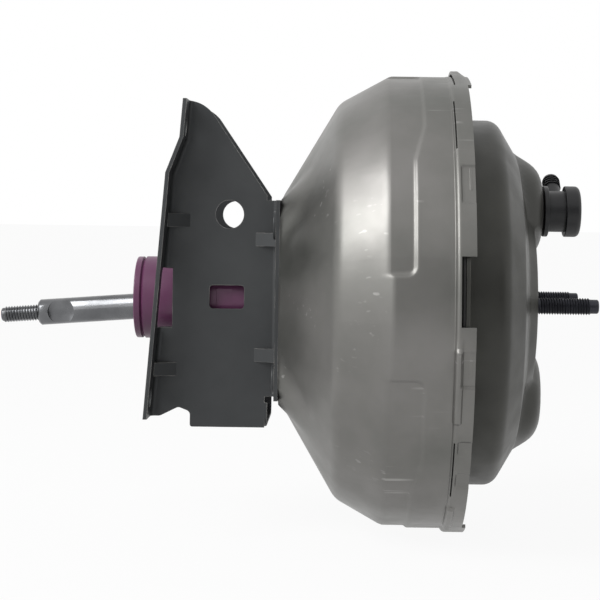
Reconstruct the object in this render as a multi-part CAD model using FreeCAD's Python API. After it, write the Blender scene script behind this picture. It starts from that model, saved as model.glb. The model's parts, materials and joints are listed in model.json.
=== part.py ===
import FreeCAD, Part
import math
import os

# Vacuum brake booster with a single diaphragm, an offset firewall bracket and a push rod.
# All sizes are millimetres. +X points forward along the booster axis, to the master cylinder,
# and +Z is up. Stations along the axis are counted from the flat back of the rear shell.
# The finished solids are moved so that the master cylinder seat lies at the origin.

Vector = FreeCAD.Vector
AXIS_X = Vector(1, 0, 0)
AXIS_Y = Vector(0, 1, 0)
AXIS_Z = Vector(0, 0, 1)
FULL_TURN = 360.0

# Sheet thicknesses
shell_sheet = 2.0
bracket_sheet = 2.4
piston_plate_sheet = 1.5
diaphragm_sheet = 1.6

# Clearances, and how far cutting solids reach past what they cut
running_gap = 0.05
seat_gap = 0.3
overshoot = 1.0
joint_overlap = 0.1
smallest_edge = 1e-6

# Rear shell
rear_collar_bore = 30.0
rear_collar_depth = 9.0
rear_flat_radius = 63.7
rear_waist_station = 34.0
rear_waist_radius = 121.3
rear_shoulder_station = 64.5
cylinder_radius = 138.2
recess_depth = 1.4
rim_step_station = 104.5
rim_step_length = 2.0
rim_radius = 140.5
rim_end_station = 119.7
rear_collar_corner = 2.5
rear_flat_corner = 7.0
rear_waist_corner = 16.0
rear_shoulder_corner = 7.0

# Pad on the rear shell's back, where the bracket is riveted
pad_half_width = 56.5
pad_half_height = 61.0
pad_corner = 16.0
pad_depth = 24.0

# Stepped panels pressed into the rear shell's cylinder; angles are up from the side (-Y)
panel_starts = (8.0, 98.0, 183.0, 268.0)
panel_span = 77.0
panel_slant_middle = 39.5
panel_slant_span = 11.0
panel_narrow_end_station = 81.5
panel_wide_end_station = 90.0
panel_start_station = 58.0

# Rim of the rear shell: notches, slits, hooks and lock tabs hold the front shell; each entry
# is a start angle and a span, up from the side (-Y)
notch_station = 110.8
notches = ((-0.6, 16.2), (-95.0, 46.0), (103.0, 16.2), (150.0, 46.0), (225.0, 16.2))
small_notch_station = 115.0
small_notches = ((-27.8, 4.5), (66.0, 4.5), (211.0, 4.5))
slit_station = 109.6
slit_width = 1.2
slits = ((17.0, 20.0), (49.7, 14.1), (-48.0, 19.0), (124.0, 20.0), (200.0, 20.0), (244.0, 16.0))
hook_station = 107.2
hook_length = 4.4
hook_rise = 2.2
hooks = ((-17.3, 12.0), (-80.0, 25.0), (126.0, 12.0), (204.0, 12.0))
lock_tab_span = 7.0
lock_tab_depth = 6.0
lock_tab_starts = (76.5, 52.5, 28.5, -14.5, -39.5, 121.5, 138.5, 198.5, 215.5, 251.5)
top_lug_station = 104.4
top_lug_length = 3.8
top_lug_width = 9.0
top_lug_rise = 2.0

# Front shell
front_flange_station = 114.0
front_cylinder_radius = 112.0
front_flange_corner = 2.5
front_shoulder_station = 128.7
front_shoulder_corner = 9.0
front_waist_station = 141.0
front_waist_radius = 91.5
front_waist_corner = 7.0
hub_base_station = 146.5
hub_base_radius = 62.0
hub_base_corner = 6.0
seat_station = 152.2
seat_radius = 54.0
seat_corner = 4.0
pilot_radius = 20.0
pilot_corner = 2.5
pilot_step_depth = 7.0
seal_bore_radius = 17.0
pilot_depth = 14.0

# Two domed lobes on the front shell, above and below the master cylinder seat
lobe_height = 57.0
lobe_base_station = 138.0
lobe_base_radius = 36.0
lobe_mid_station = 152.0
lobe_mid_radius = 29.8
lobe_top_station = 158.9
lobe_top_radius = 21.0
lobe_corner = 8.0

# Master cylinder studs and their plate
stud_spacing = 85.7
stud_thread_radius = 4.9
stud_shank_radius = 5.2
stud_tip_station = 189.1
stud_dog_length = 5.0
stud_dog_radius = 4.2
stud_chamfer = 0.7
stud_head_radius = 7.3
stud_head_thickness = 3.2
stud_plate_thickness = 2.5
stud_plate_radius = 50.0
stud_plate_bore = 23.5

# Firewall bracket; its outline is in the plane of its two side plates
bracket_half_width = 30.7
bracket_bend = 2.6
shell_flange_reach = 55.7
shell_flange_top = 60.5
shell_flange_bottom = -57.3
firewall_flange_reach = 50.7
firewall_station = -74.0
firewall_slope = 0.0779
firewall_bottom = -69.7
firewall_top = 119.9
joggle_start = 76.0
joggle_end = 97.0
joggle_depth = 6.4
gore_station = -6.7
peak_station = -47.3
peak_corner = 19.5
foot_station = -71.5
foot_corner = 5.0
saddle_station = -60.5
saddle_height = -64.2
web_rear_station = -53.5
web_front_station = -7.2
web_bottom = -76.0
web_corner = 7.5
web_edge_corner = 1.5
outline_corner = 3.0
side_hole_station = -31.2
side_hole_height = 51.8
side_hole_radius = 8.55
window_rear = -42.7
window_front = -21.9
window_bottom = -4.9
window_top = 9.2
window_corner = 2.2
slot_bottom = -16.6
slot_top = 19.4
slot_depth = 9.0
firewall_hole_radius = 5.25
firewall_hole_reach = 41.0
firewall_hole_top = 103.5
firewall_hole_bottom = -58.0
dart_length = 13.0
dart_reach = 5.5
dart_width = 8.0
dart_dent_width = 4.0
shell_dart_heights = (37.0, -32.5)
firewall_dart_heights = (-41.5, 48.0)

# Rivets between bracket and rear shell
rivet_side = 44.0
rivet_height = 45.7
rivet_shank_radius = 4.0
rivet_head_radius = 8.5
rivet_head_thickness = 1.8
rivet_tail_radius = 6.5
rivet_tail_thickness = 2.2
rivet_edge = 0.6

# Valve body, moulded in one piece with its long tail
tail_radius = 25.25
tail_end_station = -89.4
tail_ring_radius = 25.05
tail_groove_station = -84.8
tail_groove_half_width = 1.0
tail_groove_depth = 1.2
tail_edge = 0.8
tail_bore = 21.5
tail_bore_end = -35.0
poppet_bore = 17.5
poppet_chamber_end = -22.0
vacuum_seat_radius = 13.5
vacuum_seat_height = 1.0
vacuum_seat_width = 1.2
inner_chamber_end = -19.0
plunger_bore = 8.5
hub_seat_radius = 26.5
hub_seat_station = 9.3
hub_flange_radius = 42.0
hub_flange_thickness = 4.0
valve_neck_radius = 23.6
valve_front_station = 40.0
reaction_bore = 14.5
reaction_floor_station = 26.0
air_passage_radius = 2.5
air_passage_circle = 18.0
air_passage_count = 4
side_pocket_rear = -39.0
side_pocket_front = -29.5
side_pocket_bottom = -3.0
side_pocket_top = 7.0
side_pocket_depth = 0.9

# Diaphragm and its plate
piston_web_station = 11.1
piston_web_radius = 63.0
piston_web_corner = 8.0
piston_rim_station = 34.5
piston_rim_radius = 110.5
piston_rim_corner = 4.0
piston_rim_length = 8.5
roll_station = 66.0
roll_radius = 130.5
roll_corner = 12.0
bead_station = 108.8
bead_corner = 0.6
bumper_radius = 50.0
bumper_width = 5.0
bumper_count = 6
bumper_span = 30.0

# Valve parts
reaction_disc_thickness = 7.0
ball_station = -14.6
ball_radius = 6.5
plunger_front_station = 23.4
plunger_lip_radius = 11.0
plunger_lip_station = -24.0
plunger_lip_thickness = 2.4
plunger_edge = 0.4
plunger_waist_station = -4.6
plunger_waist_length = 5.4
plunger_waist_radius = 5.6
key_thickness = 2.4
key_width = 12.0
key_reach = 24.6
key_travel = 2.0
poppet_face_station = -24.3
poppet_face_thickness = 2.4
poppet_face_bore = 8.2
poppet_wall = 1.4
poppet_edge = 0.5
poppet_bead_station = -37.6
retainer_thickness = 1.2
retainer_depth = 3.0
retainer_bore = 11.5
filter_bore = 14.5
filter_rear_station = -88.0
filter_joint_station = -74.0
filter_front_station = -63.0

# Springs
poppet_spring_radius = 14.0
poppet_spring_wire = 1.2
poppet_spring_turns = 3.0
rod_spring_radius = 13.0
rod_spring_wire = 1.5
rod_spring_turns = 4.0
rod_spring_tilt_gap = 1.35
return_spring_radius = 27.2
return_spring_wire = 3.8
return_spring_turns = 5.0
spring_seat_thickness = 1.2
spring_seat_radius = 33.0

# Push rod, resting a little below the axis
rod_radius = 7.9
rod_droop = 4.39
rod_shoulder_station = -151.0
rod_tip_station = -174.0
rod_neck_radius = 5.0
rod_neck_station = -60.0
rod_thread_radius = 4.76
rod_chamfer = 1.6
rod_tip_chamfer = 0.8
flat_station = -136.3
flat_cutter_radius = 8.0
flat_half_across = 4.7
rod_collar_radius = 14.2
rod_collar_thickness = 1.6
rod_collar_edge = 0.4

# Output rod
output_rod_radius = 6.5
output_rod_base_thickness = 4.0
output_rod_base_edge = 1.0
output_rod_fillet = 2.0
output_rod_end_station = 147.0
screw_head_station = 151.5
screw_head_radius = 5.0
screw_head_edge = 1.5
screw_shank_radius = 3.0
screw_shank_length = 12.0

# Seals
rear_seal_station = 0.6
rear_seal_length = 6.6
rear_seal_lip = 2.4
rear_seal_groove = 1.2
rear_retainer_thickness = 1.4
front_seal_length = 6.0

# Check valve in the upper lobe
check_height = 56.5
check_flange_radius = 15.7
check_groove_station = 163.3
check_cap_station = 173.5
check_end_station = 182.8
check_groove_radius = 12.7
check_edge = 0.6
check_cap_corner = 3.0
check_stem_radius = 7.0
check_stem_station = 151.2
check_bore = 9.5
check_stem_bore = 4.5
check_seat_station = 164.0
check_bore_end = 179.5
check_disc_thickness = 2.0
check_disc_radius = 8.2
check_spring_radius = 6.0
check_spring_wire = 0.9
check_spring_turns = 3.0
nipple_station = 168.4
nipple_elevation = 38.0
nipple_neck_radius = 4.9
nipple_bore = 3.2
nipple_barb_radius = 5.6
nipple_barb_count = 4
nipple_barb_pitch = 2.2
nipple_reach = 32.5
grommet_hole = 9.5
grommet_flange_radius = 12.6
grommet_flange_thickness = 1.0
grommet_lip_length = 2.6
grommet_lip_rise = 1.4
grommet_lip_taper = 0.5
grommet_lip_edge = 0.4


def unit(dx, dy):
    length = math.hypot(dx, dy)
    return dx / length, dy / length


def offset_line(points, distance):
    """Offset an open line of (station, radius, corner) to the right of its direction."""
    sides = []
    for start, end in zip(points, points[1:]):
        dx, dy = unit(end[0] - start[0], end[1] - start[1])
        sides.append((start[0] + dy * distance, start[1] - dx * distance, dx, dy))
    result = [(sides[0][0], sides[0][1], 0.0)]
    for first, second, corner in zip(sides, sides[1:], points[1:]):
        cross = first[2] * second[3] - first[3] * second[2]
        along = ((second[0] - first[0]) * second[3] - (second[1] - first[1]) * second[2]) / cross
        radius = corner[2] + distance * (1 if cross > 0 else -1)
        result.append((first[0] + first[2] * along, first[1] + first[3] * along, max(radius, 0.0)))
    last = points[-1]
    result.append((last[0] + sides[-1][3] * distance, last[1] - sides[-1][2] * distance, 0.0))
    return result


def corner_cut(before, corner, after, radius):
    """Tangent points and middle of the arc that rounds one corner."""
    ax, ay = unit(before[0] - corner[0], before[1] - corner[1])
    bx, by = unit(after[0] - corner[0], after[1] - corner[1])
    half = math.acos(max(-1.0, min(1.0, ax * bx + ay * by))) / 2.0
    reach = radius / math.tan(half)
    mx, my = unit(ax + bx, ay + by)
    depth = radius / math.sin(half) - radius
    start = (corner[0] + ax * reach, corner[1] + ay * reach)
    middle = (corner[0] + mx * depth, corner[1] + my * depth)
    end = (corner[0] + bx * reach, corner[1] + by * reach)
    return start, middle, end


def rounded_face(points, place):
    """Face inside a closed outline of (a, b, corner) points; place turns (a, b) into a vector."""
    count = len(points)
    cuts = []
    for index, point in enumerate(points):
        if len(point) > 2 and point[2] > 0:
            before = points[index - 1]
            after = points[(index + 1) % count]
            cuts.append(corner_cut(before, point, after, point[2]))
        else:
            cuts.append((point, None, point))
    edges = []
    for index, cut in enumerate(cuts):
        if cut[1] is not None:
            edges.append(Part.Arc(place(*cut[0][:2]), place(*cut[1][:2]), place(*cut[2][:2])).toShape())
        start = place(*cut[2][:2])
        end = place(*cuts[(index + 1) % count][0][:2])
        if start.distanceToPoint(end) > smallest_edge:
            edges.append(Part.makeLine(start, end))
    return Part.Face(Part.Wire(edges))


def axial(station, radius):
    return Vector(station, 0, radius)


def side_plane(station, height):
    return Vector(station, 0, height)


def turned(points, turn=FULL_TURN):
    """Solid turned about the booster axis from a closed outline of (station, radius, corner)."""
    return rounded_face(points, axial).revolve(Vector(0, 0, 0), AXIS_X, turn)


def ring(start, end, inner, outer):
    """Plain ring along the axis."""
    body = Part.makeCylinder(outer, end - start, Vector(start, 0, 0), AXIS_X)
    if inner > 0:
        body = body.cut(Part.makeCylinder(inner, end - start, Vector(start, 0, 0), AXIS_X))
    return body


def ring_sector(start, end, inner, outer, angle, span):
    """Part of a ring, from an angle above the side (-Y), turning upwards by span."""
    face = rounded_face([(start, inner), (end, inner), (end, outer), (start, outer)], axial)
    body = face.revolve(Vector(0, 0, 0), AXIS_X, span)
    body.rotate(Vector(0, 0, 0), AXIS_X, 90.0 - angle - span)
    return body


def side_point(station, radius, angle):
    """Point at a radius and an angle above the side (-Y)."""
    turn = math.radians(angle)
    return Vector(station, -radius * math.cos(turn), radius * math.sin(turn))


def fused(shapes):
    result = shapes[0]
    if len(shapes) > 1:
        result = shapes[0].fuse(shapes[1:])
    return result.removeSplitter()


def coil(radius, wire, start, end, turns):
    """Coil spring along the axis between two stations, bent in tilted half turns that meet in line."""
    halves = round(2 * turns)
    step = (end - start - wire) / halves
    bends = []
    for index in range(halves):
        side = 1 if index % 2 == 0 else -1
        first = Vector(start + wire / 2.0 + index * step, 0, side * radius)
        last = Vector(first.x + step, 0, -side * radius)
        section = Part.Face(Part.Wire([Part.makeCircle(wire / 2.0, first, AXIS_Y)]))
        axis = (last - first).cross(AXIS_Y * side)
        bends.append(section.revolve((first + last) * 0.5, axis, FULL_TURN / 2.0))
    return fused(bends)


def rear_shell_line():
    """Outline of the rear shell's outer surface, from the collar to the rim."""
    return [
        (rear_collar_depth, rear_collar_bore, 0),
        (0, rear_collar_bore, rear_collar_corner),
        (0, rear_flat_radius, rear_flat_corner),
        (rear_waist_station, rear_waist_radius, rear_waist_corner),
        (rear_shoulder_station, cylinder_radius, rear_shoulder_corner),
        (rim_step_station, cylinder_radius, rim_step_length / 2.0),
        (rim_step_station + rim_step_length, rim_radius, shell_sheet + rim_step_length / 2.0),
        (rim_end_station, rim_radius, 0),
    ]


def pad(start, inset):
    """Drafted rounded block under the bracket's flanges; inset moves its walls inwards."""
    wires = []
    for station in (start, start + pad_depth):
        grow = station - inset
        half_y = pad_half_width + grow
        half_z = pad_half_height + grow
        corner = pad_corner + grow
        points = [(-half_y, -half_z, corner), (half_y, -half_z, corner),
                  (half_y, half_z, corner), (-half_y, half_z, corner)]
        face = rounded_face(points, lambda a, b, x=station: Vector(x, a, b))
        wires.append(face.OuterWire)
    return Part.makeLoft(wires, True, True)


def panel_cutter(start, floor_radius, grow):
    """Space outside one stepped panel of the cylinder, down to the panel's floor."""
    reach = rim_radius + 2 * overshoot
    widen = math.degrees(grow / cylinder_radius)
    narrow_end = panel_narrow_end_station + grow
    wide_end = panel_wide_end_station + grow
    first = start - widen
    body = ring_sector(panel_start_station, wide_end, floor_radius, reach,
                       first, panel_span + 2 * widen)
    step = ring_sector(narrow_end, wide_end + overshoot, floor_radius - overshoot,
                       reach + overshoot, first - overshoot, panel_span)
    rise = panel_wide_end_station - panel_narrow_end_station
    slant = math.degrees(math.atan2(rise, cylinder_radius * math.radians(panel_slant_span)))
    size = 2 * reach
    half_space = Part.makeBox(size, 2 * size, 2 * size, Vector(0, -size, -size))
    half_space.rotate(Vector(0, 0, 0), AXIS_Y, slant)
    half_space.translate(Vector((narrow_end + wide_end) / 2.0, 0, 0))
    half_space.rotate(Vector(0, 0, 0), AXIS_X, -(start + panel_slant_middle))
    return body.cut(step.common(half_space))


def rim_cuts():
    """Notches and slits in the rear shell's rim."""
    inner = rim_radius - 2 * shell_sheet
    outer = rim_radius + 2 * overshoot
    end = rim_end_station + overshoot
    cuts = []
    for start, span in notches:
        cuts.append(ring_sector(notch_station, end, inner, outer, start, span))
    for start, span in small_notches:
        cuts.append(ring_sector(small_notch_station, end, inner, outer, start, span))
    for start, span in slits:
        cuts.append(ring_sector(slit_station, slit_station + slit_width, inner, outer, start, span))
    return cuts


def lock_tab(angle):
    """Tongue of the rim, bent inwards over the front shell's flange."""
    start = front_flange_station
    return ring_sector(start, start + shell_sheet, rim_radius - shell_sheet - lock_tab_depth,
                       rim_radius - shell_sheet, angle, lock_tab_span)


def rim_additions():
    """Lock tabs, raised hooks and the assembly lug on the rear shell's rim."""
    inner = rim_radius - shell_sheet
    parts = [lock_tab(angle) for angle in lock_tab_starts]
    for start, span in hooks:
        parts.append(ring_sector(hook_station, hook_station + hook_length, inner,
                                 rim_radius + hook_rise, start, span))
    base = cylinder_radius - shell_sheet / 2.0
    parts.append(Part.makeBox(top_lug_length, top_lug_width, rim_radius + top_lug_rise - base,
                              Vector(top_lug_station, -top_lug_width / 2.0, base)))
    return parts


def rear_shell():
    """Deep pressed cup with the bracket pad, the stepped panels and the locking rim."""
    line = rear_shell_line()
    inner_line = offset_line(line, shell_sheet)
    outer = turned(line + [(rim_end_station, rear_collar_bore, 0)])
    end = rim_end_station + overshoot
    inner_line[-1] = (end, inner_line[-1][1], 0)
    inner = turned(inner_line + [(end, rear_collar_bore - overshoot, 0),
                                 (rear_collar_depth, rear_collar_bore - overshoot, 0)])
    bore = ring(-overshoot, rear_collar_depth, 0, rear_collar_bore)
    collar = ring(-overshoot, rear_collar_depth, 0, rear_collar_bore + shell_sheet)
    outer = outer.fuse(pad(0, 0)).cut(bore)
    pad_inset = shell_sheet * math.sqrt(2.0)
    inner = inner.fuse(pad(shell_sheet, pad_inset).cut(collar))
    for start in panel_starts:
        outer = outer.cut(panel_cutter(start, cylinder_radius - recess_depth, 0))
        inner = inner.cut(panel_cutter(start, cylinder_radius - recess_depth - shell_sheet,
                                       shell_sheet))
    shell = outer.cut(inner)
    shell = fused([shell] + rim_additions()).cut(rim_cuts())
    holes = []
    for point in rivet_places():
        holes.append(Part.makeCylinder(rivet_shank_radius, 2 * pad_depth,
                                       Vector(-pad_depth, *point), AXIS_X))
    return shell.cut(holes)


def front_shell_line():
    """Outline of the front shell's outer surface, from the flange to the seal bore."""
    step_station = seat_station - pilot_step_depth
    return [
        (front_flange_station, rim_radius - shell_sheet - seat_gap, 0),
        (front_flange_station, front_cylinder_radius, front_flange_corner),
        (front_shoulder_station, front_cylinder_radius, front_shoulder_corner),
        (front_waist_station, front_waist_radius, front_waist_corner),
        (hub_base_station, hub_base_radius, hub_base_corner),
        (seat_station, seat_radius, seat_corner),
        (seat_station, pilot_radius, pilot_corner),
        (step_station, pilot_radius, 0),
        (step_station, seal_bore_radius, 0),
        (seat_station - pilot_depth, seal_bore_radius, 0),
    ]


def pilot_space(grow):
    """Stepped bore for the master cylinder's pilot and the seal; grow adds the sheet outside it."""
    start = seat_station - pilot_depth
    step = ring(seat_station - pilot_step_depth - grow, seat_station + overshoot, 0,
                pilot_radius + grow)
    return ring(start, seat_station, 0, seal_bore_radius + grow).fuse(step)


def lobe(inset, side):
    """Domed lobe on the front shell; inset gives its inner surface."""
    line = [(lobe_base_station, lobe_base_radius, 0),
            (lobe_mid_station, lobe_mid_radius, lobe_corner),
            (lobe_top_station, lobe_top_radius, lobe_corner),
            (lobe_top_station, 0, 0)]
    line = offset_line(line, inset) if inset > 0 else line
    start = lobe_base_station - inset
    line[0] = (start, line[0][1], 0)
    body = turned([(start, 0, 0)] + line)
    body.translate(Vector(0, 0, side * lobe_height))
    return body


def front_shell():
    """Stepped pressed cover with a round seat for the master cylinder and two lobes."""
    line = front_shell_line()
    inner_line = offset_line(line, shell_sheet)
    back = front_flange_station - shell_sheet
    outer = turned(line + [(back, seal_bore_radius, 0), (back, line[0][1], 0)])
    inner_line[0] = (back - overshoot, inner_line[1][1], 0)
    inner = turned([inner_line[0]] + inner_line[2:]
                   + [(seat_station - pilot_depth, seal_bore_radius - overshoot, 0),
                      (back - overshoot, seal_bore_radius - overshoot, 0)])
    collar = pilot_space(shell_sheet)
    for side in (1, -1):
        outer = outer.fuse(lobe(0, side))
        inner = inner.fuse(lobe(shell_sheet, side).cut(collar))
    shell = outer.cut(inner).cut(pilot_space(0))
    holes = [Part.makeCylinder(grommet_hole, lobe_top_station, Vector(back, 0, check_height), AXIS_X)]
    for side in (1, -1):
        holes.append(Part.makeCylinder(stud_shank_radius, seat_station,
                                       Vector(back, side * stud_spacing / 2.0, 0), AXIS_X))
    return shell.cut(holes)


def master_cylinder_studs():
    """Two headed studs, pressed through the plate and the front shell's seat."""
    plate_back = seat_station - shell_sheet - stud_plate_thickness
    line = [
        (plate_back - stud_head_thickness, 0, 0),
        (plate_back - stud_head_thickness, stud_head_radius, stud_chamfer),
        (plate_back, stud_head_radius, 0),
        (plate_back, stud_shank_radius, 0),
        (seat_station, stud_shank_radius, 0),
        (seat_station, stud_thread_radius, 0),
        (stud_tip_station - stud_dog_length, stud_thread_radius, 0),
        (stud_tip_station - stud_dog_length, stud_dog_radius, 0),
        (stud_tip_station, stud_dog_radius, stud_chamfer),
        (stud_tip_station, 0, 0),
    ]
    studs = []
    for side in (1, -1):
        stud = turned(line)
        stud.translate(Vector(0, side * stud_spacing / 2.0, 0))
        studs.append(stud)
    return Part.makeCompound(studs)


def stud_plate():
    """Round plate that spreads the studs' load behind the seat."""
    front = seat_station - shell_sheet
    body = ring(front - stud_plate_thickness, front, stud_plate_bore, stud_plate_radius)
    holes = []
    for side in (1, -1):
        holes.append(Part.makeCylinder(stud_shank_radius, front,
                                       Vector(0, side * stud_spacing / 2.0, 0), AXIS_X))
    return body.cut(holes)


def angle_profile(station, height, direction, reach):
    """Outline of one side plate's bend into a flange; direction is the flange's side of the plate."""
    inner = bracket_half_width - bracket_sheet
    length = web_corner + bracket_bend + bracket_sheet
    away = direction * -1
    points = [
        (station, reach, 0),
        (station, inner, bracket_bend + bracket_sheet),
        (station + away * length, inner, 0),
        (station + away * length, bracket_half_width, 0),
        (station + away * bracket_sheet, bracket_half_width, bracket_bend),
        (station + away * bracket_sheet, reach, 0),
    ]
    return rounded_face(points, lambda a, b: Vector(a, b, height))


def firewall_plane(height):
    """Station of the firewall flange's rear face at a height, without the joggle."""
    return firewall_station + firewall_slope * height


def firewall_flange():
    """Tilted flange with its joggled upper end, on the +Y side."""
    levels = ((firewall_bottom, 0), (joggle_start, 0), (joggle_end, joggle_depth),
              (firewall_top, joggle_depth))
    lengths = []
    for (low, low_shift), (high, high_shift) in zip(levels, levels[1:]):
        face = angle_profile(firewall_plane(low) + low_shift, low, -1, firewall_flange_reach)
        rise = high - low
        lengths.append(face.extrude(Vector(firewall_slope * rise + high_shift - low_shift, 0, rise)))
    return fused(lengths)


def shell_flange():
    """Flange riveted to the rear shell, on the +Y side."""
    face = angle_profile(0, shell_flange_bottom, 1, shell_flange_reach)
    return face.extrude(Vector(0, 0, shell_flange_top - shell_flange_bottom))


def side_outline():
    """Outline of the side plates, from the rear foot round to the gore over the shell."""
    rear = firewall_plane(0) * 2
    front = 2 * overshoot
    return [
        (rear, firewall_bottom, 0),
        (foot_station, firewall_bottom, foot_corner),
        (saddle_station, saddle_height, outline_corner),
        (web_rear_station, (firewall_bottom + saddle_height) / 2.0, outline_corner),
        (web_rear_station, web_bottom, web_edge_corner),
        (web_front_station, web_bottom, web_edge_corner),
        (web_front_station, shell_flange_bottom, web_edge_corner),
        (front, shell_flange_bottom, 0),
        (front, shell_flange_top, 0),
        (gore_station, shell_flange_top, outline_corner),
        (peak_station, firewall_top, peak_corner),
        (rear, firewall_top, 0),
    ]


def channel_web():
    """Bottom web of the bracket with its two bends."""
    half = bracket_half_width
    side = half - bracket_sheet
    top = web_bottom + 2 * web_corner
    inner = web_corner - bracket_sheet
    floor = web_bottom + bracket_sheet
    points = [
        (-half, top, 0), (-half, web_bottom, web_corner),
        (half, web_bottom, web_corner), (half, top, 0),
        (side, top, 0), (side, floor, inner),
        (-side, floor, inner), (-side, top, 0),
    ]
    face = rounded_face(points, lambda a, b: Vector(web_rear_station - web_corner, a, b))
    return face.extrude(Vector(web_front_station + overshoot - web_rear_station + web_corner, 0, 0))


def dart_wedge(near, wall, direction, height, width):
    """Wedge across a bend, along the plate and out along the flange, set half a sheet deep."""
    deep = bracket_sheet / 2.0
    points = [(near + direction * deep, wall - deep),
              (near - direction * dart_length, wall - deep),
              (near - direction * dart_length, wall),
              (near, wall + dart_reach),
              (near + direction * deep, wall + dart_reach)]
    face = rounded_face(points, lambda a, b: Vector(a, b, height - width / 2.0))
    return face.extrude(Vector(0, 0, width))


def darts(inside):
    """Pressed darts that stiffen the bends on the +Y side; inside gives the dents behind them."""
    places = [(0, 1, height) for height in shell_dart_heights]
    places += [(firewall_plane(height), -1, height) for height in firewall_dart_heights]
    wedges = []
    for station, direction, height in places:
        if inside:
            wedges.append(dart_wedge(station, bracket_half_width - bracket_sheet, direction,
                                     height, dart_dent_width))
        else:
            wedges.append(dart_wedge(station - direction * bracket_sheet, bracket_half_width,
                                     direction, height, dart_width))
    return wedges


def mounting_bracket():
    """Channel bracket between firewall and booster, with outward flanges at both ends."""
    plate_start = firewall_plane(firewall_bottom)
    plate = Part.makeBox(-plate_start, bracket_sheet, firewall_top - web_bottom,
                         Vector(plate_start, bracket_half_width - bracket_sheet, web_bottom))
    inset = bracket_sheet + bracket_bend + web_corner / 2.0
    space = [(firewall_plane(firewall_bottom) + inset, firewall_bottom - web_corner, 0),
             (firewall_plane(joggle_start) + inset, joggle_start, 0),
             (firewall_plane(joggle_end) + joggle_depth + inset, joggle_end, 0),
             (firewall_plane(firewall_top) + joggle_depth + inset, firewall_top + overshoot, 0),
             (-inset, firewall_top + overshoot, 0),
             (-inset, firewall_bottom - web_corner, 0)]
    window = rounded_face(space, side_plane).extrude(Vector(0, 2 * bracket_half_width, 0))
    plate = plate.common(window)
    side = fused([plate, firewall_flange(), shell_flange()] + darts(False))
    side = side.cut(darts(True))
    other = side.mirror(Vector(0, 0, 0), AXIS_Y)
    body = fused([side, other, channel_web()])
    width = 2 * shell_flange_reach + 2 * overshoot
    outline = rounded_face(side_outline(), side_plane).extrude(Vector(0, width, 0))
    outline.translate(Vector(0, -width / 2.0, 0))
    body = body.common(outline)
    return body.cut(bracket_holes(width))


def bracket_holes(width):
    """Side holes, side windows, slots in the firewall bends, bolt holes and rivet holes."""
    half = width / 2.0
    holes = [Part.makeCylinder(side_hole_radius, width,
                               Vector(side_hole_station, -half, side_hole_height), AXIS_Y)]
    points = [(window_rear, window_bottom, window_corner), (window_front, window_bottom, window_corner),
              (window_front, window_top, window_corner), (window_rear, window_top, window_corner)]
    window = rounded_face(points, side_plane).extrude(Vector(0, width, 0))
    window.translate(Vector(0, -half, 0))
    holes.append(window)
    rear = firewall_plane(slot_bottom) - overshoot
    radius = slot_depth / 2.0
    for side in (1, -1):
        near = bracket_half_width - 2 * bracket_sheet
        far = bracket_half_width + slot_depth
        points = [(near, slot_bottom, radius), (far, slot_bottom, radius),
                  (far, slot_top, radius), (near, slot_top, radius)]
        slot = rounded_face(points, lambda a, b: Vector(rear, a * side, b))
        holes.append(slot.extrude(Vector(slot_depth + bracket_sheet, 0, 0)))
    for height, shift in ((firewall_hole_top, joggle_depth), (firewall_hole_bottom, 0)):
        for side in (1, -1):
            centre = Vector(firewall_plane(height) + shift, side * firewall_hole_reach, height)
            normal = Vector(1, 0, -firewall_slope).normalize()
            holes.append(Part.makeCylinder(firewall_hole_radius, 4 * bracket_sheet,
                                           centre - normal * bracket_sheet, normal))
    for point in rivet_places():
        holes.append(Part.makeCylinder(rivet_shank_radius, 4 * bracket_sheet,
                                       Vector(-2 * bracket_sheet, *point), AXIS_X))
    return holes


def rivet_places():
    places = []
    for side in (1, -1):
        for level in (1, -1):
            places.append((side * rivet_side, level * rivet_height))
    return places


def bracket_rivets():
    """Four low-headed rivets through the bracket's flange and the rear shell."""
    line = [
        (-bracket_sheet - rivet_head_thickness, 0, 0),
        (-bracket_sheet - rivet_head_thickness, rivet_head_radius, rivet_edge),
        (-bracket_sheet, rivet_head_radius, 0),
        (-bracket_sheet, rivet_shank_radius, 0),
        (shell_sheet, rivet_shank_radius, 0),
        (shell_sheet, rivet_tail_radius, 0),
        (shell_sheet + rivet_tail_thickness, rivet_tail_radius, rivet_edge),
        (shell_sheet + rivet_tail_thickness, 0, 0),
    ]
    rivets = []
    for point in rivet_places():
        rivet = turned(line)
        rivet.translate(Vector(0, *point))
        rivets.append(rivet)
    return Part.makeCompound(rivets)


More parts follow.
